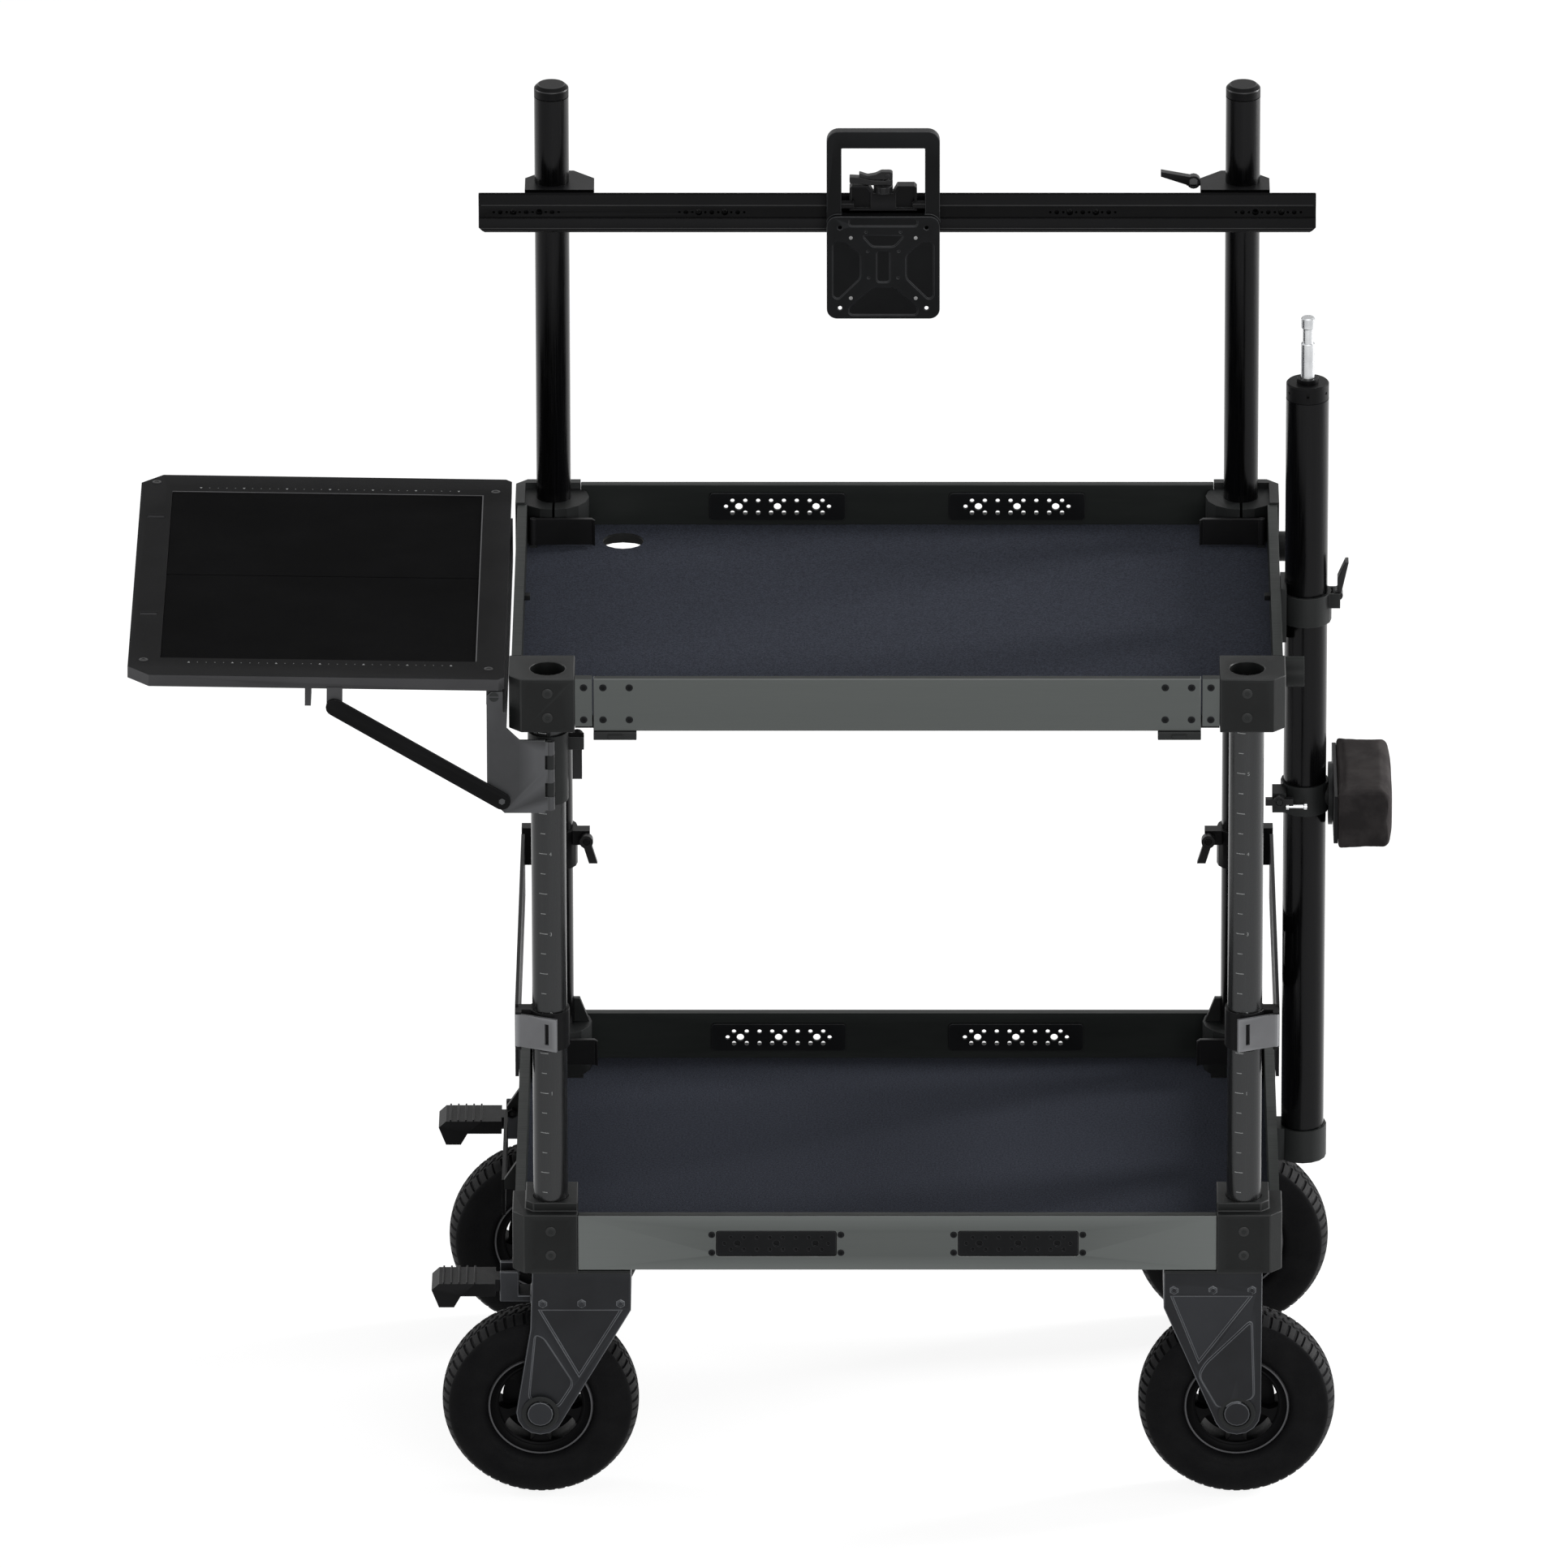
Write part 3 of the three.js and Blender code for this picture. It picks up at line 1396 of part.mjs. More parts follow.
function carriage() {
  const top = barTop + seat + saddleThick;
  const jawTop = top + jawRise;
  const inner = barFrontY - seat;
  const jaw = prism('y', [
    [-carriageHalf, carriageBottom],
    [carriageHalf, carriageBottom],
    [carriageHalf, jawTop - jawCorner],
    [carriageHalf - jawCorner, jawTop],
    [valleyHalf + valleySlope, jawTop],
    [valleyHalf, top],
    [-valleyHalf, top],
    [-valleyHalf - valleySlope, jawTop],
    [-carriageHalf + jawCorner, jawTop],
    [-carriageHalf, jawTop - jawCorner],
  ], carriageFrontY, inner);
  const pocketTo = carriageHalf - jawPocketRim;
  const pocketFloor = carriageFrontY + jawPocketDepth;
  const pockets = [-1, 1].map((side) => prism('y', [
    [side * jawPocketFrom, carriageBottom + jawPocketRim],
    [side * pocketTo, carriageBottom + jawPocketRim],
    [side * pocketTo, jawTop - jawPocketRim],
    [side * (jawPocketFrom + valleySlope), jawTop - jawPocketRim],
    [side * jawPocketFrom, top],
  ], carriageFrontY - overrun, pocketFloor));
  const bridge = box(
    -saddleHalf, saddleHalf, carriageFrontY, barBackY + seat + saddleThick, barTop + seat, top,
  );
  const lip = box(
    -saddleHalf, saddleHalf, barBackY + seat, barBackY + seat + saddleThick, barTop - saddleLip, top,
  );
  const column = rod('z', camColumnRadius, carriageBottom, top + camColumnProud, 0, camY)
    .intersect(box(-carriageHalf, carriageHalf, carriageFrontY, barBackY, carriageBottom, 2 * top));
  const clearBar = box(
    -carriageHalf, carriageHalf, inner, barBackY + seat, carriageBottom - overrun, barTop + seat,
  );
  const pinTop = top + camColumnProud + camLeverHeight;
  const pin = rod('z', camPinRadius, carriageBottom, pinTop, 0, camY, smallSides);
  const trunnions = [-1, 1].map((side) => rod(
    'x', trunnionRadius, side * (carriageHalf - saddleThick), side * (headHalf - saddleThick),
    trunnionY, trunnionZ, smallSides,
  ));
  return cut(join(cut(jaw, ...pockets), bridge, lip, column, pin, ...trunnions), clearBar);
}

function carriageLever() {
  const hub = rod('z', camHubRadius, 0, camLeverHeight);
  const arm = prism('y', [
    [0, camArmBottom],
    [-camLeverLength, camArmBottom],
    [-camLeverLength, camArmTipTop],
    [-camArmWaist, camArmWaistTop],
    [-camHubRadius, camLeverHeight],
    [0, camLeverHeight],
  ], -camLeverWidth / 2, camLeverWidth / 2);
  const bore = rod('z', camPinRadius + seat, -overrun, camLeverHeight + overrun, 0, 0, boreSides);
  return cut(join(hub, arm), bore);
}

// The head is built at its tilt axis
function monitorHead() {
  const z = (height) => height - trunnionZ;
  const y = (place) => place - trunnionY;
  const frame = prism(
    'y', rounded(-headHalf, headHalf, z(handleBottom - headCrosspiece), z(headTop), headCorner),
    y(headBackY - handleThick), y(headBackY),
  );
  const opening = prism(
    'y', rounded(-handleHalf, handleHalf, z(handleBottom), z(handleTop), handleCorner),
    y(headBackY - handleThick - overrun), y(headBackY + overrun),
  );
  const plate = prism(
    'y', rounded(-headHalf, headHalf, z(plateBottom), z(plateTop), plateCorner),
    y(plateFrontY), y(plateFrontY + handleThick),
  );
  const clearTop = box(
    -handleHalf, handleHalf, y(plateFrontY - overrun), y(headBackY + overrun), z(plateTop), z(handleTop),
  );
  const holes = [-1, 1].flatMap((side) => [-1, 1].map((rise) => rod(
    'y', vesaHole, y(plateFrontY - overrun), y(headBackY),
    side * vesaHalf, z(vesaZ) + rise * vesaHalf, smallSides,
  )));
  const boreHalf = headHalf - saddleThick + seat;
  const trunnionBore = rod('x', trunnionRadius + seat, -boreHalf, boreHalf);
  return cut(join(cut(frame, opening), plate), clearTop, trunnionBore, ...holes);
}

// Tablet shelf, built for the right and mirrored to the left

function hingeBand(index) {
  const height = (sleeveTop - sleeveBottom) / hingeBands;
  return [sleeveBottom + index * height + seat / 2, sleeveBottom + (index + 1) * height - seat / 2];
}

function tabletPostClamp() {
  const sleeve = rod('z', sleeveRadius, sleeveBottom, sleeveTop, postX, -postY);
  const knuckles = [1, 3].flatMap((index) => {
    const [from, to] = hingeBand(index);
    return [
      rod('z', hingeRadius, from, to, hingeX, -hingeY),
      box(hingeX - hingeRadius, hingeX + hingeRadius, -hingeY, -postY - postRadius, from, to),
    ];
  });
  const pin = rod('z', hingePinRadius, sleeveBottom, sleeveTop, hingeX, -hingeY, smallSides);
  const ear = box(
    clampLeverX - clampLeverHubRadius, postX - postRadius + seat,
    -clampLeverY - clampLeverEar, -clampLeverY,
    clampLeverZ - clampLeverHubRadius, clampLeverZ + clampLeverHubRadius,
  );
  const leverPin = rod(
    'y', collarPinRadius, -clampLeverY - clampLeverEar, -clampLeverY + clampLeverThick,
    clampLeverX, clampLeverZ, smallSides,
  );
  const tunnel = rod('z', postRadius + seat, sleeveBottom - overrun, sleeveTop + overrun, postX, -postY);
  return cut(join(sleeve, ...knuckles, pin, ear, leverPin), tunnel);
}

function tabletClampLever() {
  const hub = rod('y', clampLeverHubRadius, seat, clampLeverThick);
  const arm = box(
    -clampLeverWidth / 2, clampLeverWidth / 2, seat, clampLeverThick, -clampLeverLength, 0,
  );
  const bore = rod(
    'y', collarPinRadius + seat, -overrun, clampLeverThick + overrun, 0, 0, boreSides,
  );
  return cut(join(hub, arm), bore);
}

function swingBracket() {
  const front = -hingeY - bracketThick;
  const plate = prism('y', [
    [hingeX + hingeRadius + runGap, bracketBottom],
    [bracketOuterX - bracketCut, bracketBottom],
    [bracketOuterX, bracketBottom + bracketCut],
    [bracketOuterX, neckTop - neckChamfer],
    [bracketOuterX - neckChamfer, neckTop],
    [neckInnerX, neckTop],
    [neckInnerX, bracketTop + neckStep],
    [neckInnerX - neckStep, bracketTop],
    [hingeX + hingeRadius + runGap, bracketTop],
  ], front, -hingeY);
  const bands = [0, 2, 4].flatMap((index) => {
    const [from, to] = hingeBand(index);
    return [
      rod('z', hingeRadius, from, to, hingeX, -hingeY),
      box(hingeX, hingeX + hingeRadius + 2 * runGap, front, -hingeY, from, to),
    ];
  });
  const bore = rod(
    'z', hingePinRadius + seat, bracketBottom - overrun, bracketTop + overrun,
    hingeX, -hingeY, boreSides,
  );
  const beam = box(beamFromX, beamToX, front, beamBackY, beamBottom, beamTop);
  const riser = prism('y', [
    [beamFromX, beamBottom],
    [bracketOuterX, beamBottom],
    [bracketOuterX, neckTop - neckChamfer],
    [bracketOuterX - neckChamfer, neckTop],
    [beamFromX, neckTop],
  ], beamBackY - bracketThick, beamBackY);
  const pins = [
    rod('y', foldPinRadius, front, -hingeY + 2 * bracketThick, foldX, foldZ, smallSides),
    rod(
      'y', foldPinRadius, beamBackY - bracketThick, beamBackY + 2 * bracketThick,
      foldX, foldZ, smallSides,
    ),
    rod(
      'y', strutPinRadius, front - strutBoss - strutThick - seat, -hingeY,
      strutLowX, strutLowZ, smallSides,
    ),
  ];
  const boss = rod('y', strutPivotRadius, front - strutBoss, -hingeY, strutLowX, strutLowZ);
  return join(cut(join(plate, ...bands), bore), beam, riser, ...pins, boss);
}

// The board is built at its fold axis, with X growing outwards
function tabletBoard() {
  const bottom = boardTopRise - boardThick;
  const board = prism('z', [
    [-boardInner, -boardFrontY + boardInnerChamfer],
    [-boardInner + boardInnerChamfer, -boardFrontY],
    [boardOuter - boardChamfer, -boardFrontY],
    [boardOuter, -boardFrontY + boardChamfer],
    [boardOuter, boardBackY - boardChamfer],
    [boardOuter - boardChamfer, boardBackY],
    [-boardInner + boardInnerChamfer, boardBackY],
    [-boardInner, boardBackY - boardInnerChamfer],
  ], bottom, boardTopRise);
  const matPocket = box(matFrom, matTo, -matHalf, matHalf, boardTopRise - matSink, boardTopRise + overrun);
  const slots = [-strapFrontY, strapBackY].map((y) => box(
    boardOuter - strapReach, boardOuter - strapReach / 3, y - strapHalf, y + strapHalf,
    bottom - overrun, boardTopRise + overrun,
  ));
  const ears = [-hingeY + seat, beamBackY + seat].map((y) => cut(
    box(-foldEarHalf, foldEarHalf, y, y + bracketThick, -foldEarHalf, bottom + matSink),
    rod('y', foldPinRadius + seat, y - overrun, y + bracketThick + overrun, 0, 0, boreSides),
  ));
  const strutX = strutTopX - foldX;
  const strutEar = box(
    strutX - strutPivotRadius, strutX + strutPivotRadius, -hingeY - bracketThick - strutBoss + seat,
    -hingeY + bracketThick, strutTopZ - foldZ - strutPivotRadius, bottom + matSink,
  );
  const tab = box(
    tabFrom - foldX, tabTo - foldX, -boardFrontY, -boardFrontY + 2 * strutWidth,
    tabBottom - foldZ, bottom + matSink,
  );
  return join(cut(board, matPocket, ...slots), ...ears, strutEar, tab);
}

// The strut is built at its lower pivot, with X growing outwards
function strut() {
  const x = strutTopX - strutLowX;
  const z = strutTopZ - strutLowZ;
  const length = Math.hypot(x, z);
  const side = strutWidth / 2;
  const across = [-z / length * side, x / length * side];
  const bar = prism('y', [
    [across[0], across[1]],
    [-across[0], -across[1]],
    [x - across[0], z - across[1]],
    [x + across[0], z + across[1]],
  ], -strutThick, 0);
  const ends = [[0, 0], [x, z]].map(([u, v]) => rod('y', side, -strutThick, 0, u, v));
  const bore = rod('y', strutPinRadius + seat, -strutThick - overrun, overrun, 0, 0, boreSides);
  return cut(join(bar, ...ends), bore);
}

// Mast and body pad, built round the mast axis

function mastBracket() {
  const wall = shelfHalfWidth + seat - mastX;
  const base = box(wall, wall + mastBaseThick, -mastBaseHalf, mastBaseHalf, mastBaseBottom, mastBaseTop);
  const arm = box(wall, 0, -mastArmHalf, mastArmHalf, mastBandBottom, mastBandTop);
  const band = rod('z', mastBandRadius, mastBandBottom, mastBandTop);
  const inner = mastLeverHalf + seat;
  const lugs = [-1, 1].map((side) => box(
    0, mastLeverX - mastX + mastLeverHub / 2,
    side * inner, side * (inner + mastLugThick), mastLeverZ - mastLugReach, mastBandTop,
  ));
  const pin = rod(
    'y', mastLeverPin, -inner - mastLugThick, inner + mastLugThick,
    mastLeverX - mastX, mastLeverZ, smallSides,
  );
  const tunnel = rod('z', mastRadius + seat, mastBaseBottom - overrun, mastBaseTop + overrun);
  return join(cut(join(base, arm, band, ...lugs), tunnel), pin);
}

function mastLever() {
  const hub = rod('y', mastLeverHub, -mastLeverHalf, mastLeverHalf);
  const arm = prism('y', [
    [0, 0],
    [mastLeverThick / 2, 0],
    [mastLeverThick / 2 + mastLeverSway, mastLeverLength],
    [mastLeverSway, mastLeverLength],
    [0, mastLeverLength / 2],
  ], -mastLeverHalf, mastLeverHalf);
  const bore = rod('y', mastLeverPin + seat, -mastRadius, mastRadius, 0, 0, boreSides);
  return cut(join(hub, arm), bore);
}

function mastTube() {
  const tube = rod('z', mastRadius, mastBottom, mastTop - mastCapHeight);
  const cap = rod('z', mastRadius - mastCapStep, mastTop - 2 * mastCapHeight, mastTop);
  const collar = rod('z', mastCollarRadius, mastTop - mastCapHeight, mastTop + mastCollarHeight);
  const hollow = rod('z', mastBore, mastBottom - overrun, mastTop - mastCapHeight);
  const socketTop = mastTop + 2 * mastCollarHeight;
  const socket = rod('z', spigotRadius + seat, mastTop - mastCapHeight / 2, socketTop);
  return cut(join(cut(join(tube, cap), hollow), collar), socket);
}

function spigot() {
  return turned('z', [
    [0, mastTop - mastCapHeight / 2 + seat],
    [spigotRadius, mastTop - mastCapHeight / 2 + seat],
    [spigotRadius, spigotShoulder],
    [spigotNeckRadius, spigotShoulder],
    [spigotNeckRadius, spigotNeckTop],
    [spigotRadius, spigotNeckTop + spigotBevel],
    [spigotRadius, spigotTop - spigotBevel],
    [spigotRadius - spigotBevel, spigotTop],
    [0, spigotTop],
  ]);
}

function padClamp() {
  const ring = rod('z', padClampRadius, padClampBottom, padClampTop);
  const disc = rod('x', padDiscRadius, padDiscFrom - mastX, padDiscTo - mastX, 0, padAxisZ);
  const boss = rod('x', padBossRadius, 0, padDiscTo - mastX, 0, padAxisZ);
  const pin = rod('x', padPinRadius, 0, padDiscTo - mastX + padPinReach, 0, padAxisZ, smallSides);
  const ear = box(
    padLeverX - mastX - padEarHalf, padLeverX - mastX + padEarHalf,
    -padLeverY, -padLeverY + padClampRadius,
    padLeverZ - 2 * padEarHalf, padLeverZ + padEarHalf,
  );
  const bolt = rod(
    'y', padBoltRadius, -padLeverY - padLeverDepth, -padLeverY + overrun,
    padLeverX - mastX, padLeverZ, smallSides,
  );
  const tunnel = rod('z', mastRadius + seat, padClampBottom - overrun, padClampTop + overrun);
  return cut(join(ring, disc, boss, pin, ear, bolt), tunnel);
}

function padLever() {
  const hub = rod('y', padLeverHubRadius, -padLeverDepth, -seat);
  const side = padLeverThick / 2;
  const bar = box(-padLeverHalf, padLeverHalf, -padLeverDepth, -seat, -side, side);
  const bore = rod('y', padBoltRadius + seat, -2 * padLeverDepth, overrun, 0, 0, boreSides);
  return cut(join(hub, bar), bore);
}

// A closed skin through rings of points, each ring round the X axis, with a point at both ends
function skin(rings, start, end) {
  const count = rings[0].length;
  const points = [start, ...rings.flat(), end];
  const last = points.length - 1;
  const corners = [];
  for (let i = 0; i < count; i += 1) {
    const next = (i + 1) % count;
    corners.push(0, 1 + next, 1 + i);
    for (let r = 0; r + 1 < rings.length; r += 1) {
      const near = 1 + r * count;
      const far = near + count;
      corners.push(near + i, near + next, far + next, near + i, far + next, far + i);
    }
    const rim = 1 + (rings.length - 1) * count;
    corners.push(last, rim + i, rim + next);
  }
  const positions = new Float32Array(points.flat());
  return solidOf(positions, outward(positions, corners));
}

function padRing(x, halfY, halfZ) {
  const ring = [];
  for (let i = 0; i < padStepsRound; i += 1) {
    const angle = (i + 1 / 2) / padStepsRound * 2 * Math.PI;
    const bend = (value) => Math.sign(value) * Math.abs(value) ** padCornerShare;
    ring.push([x, halfY * bend(Math.cos(angle)), halfZ * bend(Math.sin(angle))]);
  }
  return ring;
}

// The cushion: sides drawn in at both edges and a crowned outer face, on its backing plate
function bodyPad() {
  const depth = padThick - padCrown;
  const rings = [];
  for (let i = 0; i <= padRings; i += 1) {
    const along = i / padRings;
    const inset = padDraw * (1 - Math.sin(Math.PI * along)) ** 2;
    rings.push(padRing(padBackThick + along * depth, padHalfY - inset, padHalfZ - inset));
  }
  for (const share of padCrownShares) {
    const x = padBackThick + depth + padCrown * (1 - share * share);
    const inset = padDraw;
    rings.push(padRing(x, (padHalfY - inset) * share, (padHalfZ - inset) * share));
  }
  const cushion = skin(rings, [padBackThick, 0, 0], [padBackThick + padThick, 0, 0]);
  const backing = box(
    0, padBackThick + padCrown, -padBackHalfY, padBackHalfY, -padBackHalfZ, padBackHalfZ,
  );
  const bore = rod('x', padPinRadius + seat, -overrun, padPinReach + seat, 0, 0, boreSides);
  return cut(join(cushion, backing), bore);
}

// Assembly

const cart = new THREE.Group();

function lowerShelf() {
  for (const [sideY, end] of [[-1, 'front'], [1, 'back']]) {
    for (const [sideX, side] of [[-1, 'left'], [1, 'right']]) {
      const corner = handed(lowerCorner(sideY > 0), sideX, sideY);
      place(cart, `lower_corner_${end}_${side}`, corner, 'casting');
    }
  }
  place(cart, 'lower_front_rail', lowerFrontRail(), 'anodised');
  place(cart, 'lower_back_rail', backRail(lowerRailBottom, lowerRailTop), 'anodised');
  place(cart, 'lower_tray', lowerTray(), 'carpet');
  place(cart, 'side_flap', sideFlap(), 'black', -flapAxisX, 0, flapAxisZ);
}

function upperShelf() {
  for (const [sideY, end] of [[-1, 'front'], [1, 'back']]) {
    for (const [sideX, side] of [[-1, 'left'], [1, 'right']]) {
      const corner = handed(upperCorner(sideY > 0), sideX, sideY);
      place(cart, `upper_corner_${end}_${side}`, corner, 'casting');
    }
  }
  place(cart, 'upper_back_rail', backRail(upperRailBottom, upperRailTop), 'anodised');
  place(cart, 'upper_tray', upperTray(), 'carpet');
  const gateY = -shelfHalfDepth - gateHingeForward;
  place(cart, 'front_gate', frontGate(), 'anodised', 0, gateY, upperRailBottom - gateHingeDrop);
}

function posts() {
  for (const [sideX, side] of [[-1, 'left'], [1, 'right']]) {
    place(cart, `front_post_${side}`, frontPost(), 'gunmetal', sideX * postX, -postY, postFootZ);
    place(cart, `back_post_${side}`, backPost(), 'gunmetal', sideX * postX, postY, postFootZ);
    for (const [level, z] of [['lower', lowerFlipZ], ['upper', upperFlipZ]]) {
      const lever = handed(flipLever(), sideX);
      place(cart, `${level}_flip_lever_${side}`, lever, 'lever', sideX * flipPivotX, flipY, z);
    }
  }
}

function casters() {
  for (const [sideY, end] of [[-1, 'front'], [1, 'back']]) {
    for (const [sideX, side] of [[-1, 'left'], [1, 'right']]) {
      const plan = sideX < 0 ? brakedFork : plainFork;
      const swivel = group(cart, sideX * kingpinX, sideY * kingpinY);
      place(swivel, `caster_fork_${end}_${side}`, handed(casterFork(plan), sideX), 'casting');
      const wheel = group(swivel, sideX * plan.trail, 0, wheelRadius);
      place(wheel, `wheel_rim_${end}_${side}`, wheelRim(), 'rim');
      place(wheel, `tyre_${end}_${side}`, tyre(), 'rubber');
      if (plan.braked) {
        place(swivel, `brake_pedal_${end}_${side}`, handed(brakePedal(), sideX), 'black');
      }
    }
  }
}

function sidePlates() {
  for (const [sideX, side] of [[-1, 'left'], [1, 'right']]) {
    place(cart, `side_plate_${side}`, handed(sidePlate(), sideX), 'black');
    const { x, y } = latchFrame();
    const latch = place(
      cart, `front_latch_${side}`, handed(frontLatch(), sideX), 'plate',
      sideX * x, y, (ringBottom + ringTop) / 2,
    );
    latch.rotation.z = sideX * latchTurn;
    place(
      cart, `collar_lever_${side}`, handed(collarLever(), sideX), 'lever',
      sideX * collarHubX, collarHubY, collarHubZ,
    );
  }
}

function monitorMount() {
  place(cart, 'crossbar', crossbar(), 'black');
  place(cart, 'crossbar_lever', crossbarLever(), 'lever', barLeverX, barLeverY, barLeverZ);
  const slider = group(cart, carriageX);
  place(slider, 'monitor_carriage', carriage(), 'casting');
  const camZ = barTop + seat + saddleThick + camColumnProud + seat;
  place(slider, 'carriage_lever', carriageLever(), 'lever', 0, camY, camZ);
  place(slider, 'monitor_head', monitorHead(), 'plate', 0, trunnionY, trunnionZ);
}

function tabletShelf() {
  place(cart, 'tablet_post_clamp', handed(tabletPostClamp(), -1), 'casting');
  place(
    cart, 'tablet_clamp_lever', handed(tabletClampLever(), -1), 'lever',
    -clampLeverX, -clampLeverY, clampLeverZ,
  );
  place(cart, 'swing_bracket', handed(swingBracket(), -1), 'plate');
  const board = place(cart, 'tablet_board', handed(tabletBoard(), -1), 'black', -foldX, 0, foldZ);
  board.rotation.y = boardSlope;
  const strutY = -hingeY - bracketThick - strutBoss - seat;
  place(cart, 'tablet_strut', handed(strut(), -1), 'black', -strutLowX, strutY, strutLowZ);
}

function mast() {
  const stand = group(cart, mastX);
  place(stand, 'mast_bracket', mastBracket(), 'casting');
  place(stand, 'mast_lever', mastLever(), 'lever', mastLeverX - mastX, 0, mastLeverZ);
  place(stand, 'mast_tube', mastTube(), 'black');
  place(stand, 'mast_spigot', spigot(), 'steel');
  place(stand, 'pad_clamp', padClamp(), 'casting');
  place(stand, 'pad_lever', padLever(), 'lever', padLeverX - mastX, -padLeverY - seat, padLeverZ);
  place(stand, 'body_pad', bodyPad(), 'suede', padDiscTo - mastX + seat, 0, padAxisZ);
}

lowerShelf();
casters();
posts();
upperShelf();
sidePlates();
monitorMount();
tabletShelf();
mast();

// Heights above are measured from the floor; the part's origin is the middle of the lower deck
const framed = new THREE.Group();
cart.position.z = -lowerCarpetTop;
framed.add(cart);

export default framed;
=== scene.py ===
"""Camera cart: finished surfaces, fine detail, light and camera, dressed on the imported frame."""

import json
import math

import bmesh
import bpy
from mathutils import Matrix, Vector

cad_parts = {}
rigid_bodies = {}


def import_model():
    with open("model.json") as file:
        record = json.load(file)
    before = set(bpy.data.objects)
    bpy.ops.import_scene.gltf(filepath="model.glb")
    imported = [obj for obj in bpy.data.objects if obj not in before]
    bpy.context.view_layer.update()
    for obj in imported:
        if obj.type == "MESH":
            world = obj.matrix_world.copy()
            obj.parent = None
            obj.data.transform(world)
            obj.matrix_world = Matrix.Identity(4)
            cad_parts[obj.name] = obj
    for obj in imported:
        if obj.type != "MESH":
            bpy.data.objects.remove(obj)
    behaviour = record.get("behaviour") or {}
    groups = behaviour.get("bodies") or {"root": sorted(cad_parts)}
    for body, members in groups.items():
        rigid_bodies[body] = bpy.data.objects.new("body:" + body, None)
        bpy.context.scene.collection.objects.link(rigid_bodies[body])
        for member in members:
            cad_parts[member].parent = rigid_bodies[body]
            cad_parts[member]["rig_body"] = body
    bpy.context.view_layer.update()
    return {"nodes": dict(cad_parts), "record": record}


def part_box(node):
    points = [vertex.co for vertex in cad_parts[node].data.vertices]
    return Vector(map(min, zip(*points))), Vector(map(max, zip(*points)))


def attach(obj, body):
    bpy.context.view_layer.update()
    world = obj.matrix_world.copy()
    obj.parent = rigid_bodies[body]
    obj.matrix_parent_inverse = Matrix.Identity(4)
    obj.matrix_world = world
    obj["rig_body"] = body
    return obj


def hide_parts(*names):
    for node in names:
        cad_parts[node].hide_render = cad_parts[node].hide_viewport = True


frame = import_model()

MM = 0.001
UP = Vector((0, 0, 1))
SMOOTH_ANGLE = math.radians(32)
MERGE_DISTANCE = 0.01 * MM
FLAT_ANGLE = math.radians(1)
BEVEL_STEPS = 2
CORNER_STEPS = 5
FLAT_WEIGHT = 80

floor_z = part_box("tyre_front_left")[0].z


def placed(name, data):
    """A new object in the scene."""
    made = bpy.data.objects.new(name, data)
    bpy.context.scene.collection.objects.link(made)
    return made


def mesh_of(name, bm):
    """The mesh of a bmesh, which is freed."""
    mesh = bpy.data.meshes.new(name)
    bm.to_mesh(mesh)
    bm.free()
    return mesh


# Camera: long lens, raised view, cart right of the middle
IMAGE_SIZE = 1932
CAMERA_LENS = 541.17
CAMERA_SENSOR = 36
CAMERA_ELEVATION = math.radians(23.063)
CAMERA_DISTANCE = 27.304
CAMERA_TARGET_HEIGHT = 0.78764
CAMERA_AXIS_PIXEL = 1105.55


def make_camera():
    data = bpy.data.cameras.new("camera")
    data.lens = CAMERA_LENS
    data.sensor_width = CAMERA_SENSOR
    data.shift_x = (IMAGE_SIZE / 2 - CAMERA_AXIS_PIXEL) / IMAGE_SIZE
    data.clip_end = 4 * CAMERA_DISTANCE
    camera = placed("camera", data)
    target = Vector((0, 0, floor_z + CAMERA_TARGET_HEIGHT))
    reach = Vector((0, -math.cos(CAMERA_ELEVATION), math.sin(CAMERA_ELEVATION)))
    camera.location = target + CAMERA_DISTANCE * reach
    camera.rotation_euler = (math.pi / 2 - CAMERA_ELEVATION, 0, 0)
    bpy.context.scene.camera = camera


make_camera()


# Node tree helpers

def new_tree(name):
    material = bpy.data.materials.new(name)
    material.use_nodes = True
    tree = material.node_tree
    tree.nodes.clear()
    return material, tree


def add_node(tree, kind, inputs=None, **settings):
    """Adds a node; each input is a value or the socket that feeds it."""
    made = tree.nodes.new(kind)
    for key, value in settings.items():
        setattr(made, key, value)
    for key, value in (inputs or {}).items():
        if isinstance(value, bpy.types.NodeSocket):
            tree.links.new(value, made.inputs[key])
        else:
            made.inputs[key].default_value = value
    return made


EVEN = (1, 1, 1)


def noise(tree, scale, detail, stretch=EVEN, roughness=0.55):
    place = add_node(tree, "ShaderNodeTexCoord").outputs["Object"]
    sized = add_node(tree, "ShaderNodeMapping", {"Vector": place, "Scale": stretch})
    feeds = {"Vector": sized.outputs["Vector"], "Scale": scale, "Detail": detail,
             "Roughness": roughness}
    return add_node(tree, "ShaderNodeTexNoise", feeds).outputs["Fac"]


def ramp(tree, source, low, high, from_low=0.35, from_high=0.65):
    feeds = {"Value": source, "From Min": from_low, "From Max": from_high, "To Min": low,
             "To Max": high}
    return add_node(tree, "ShaderNodeMapRange", feeds).outputs["Result"]


# Sockets of a node that mixes colours
MIX_SHARE, MIX_LOW, MIX_HIGH, MIX_RESULT = 0, 6, 7, 2


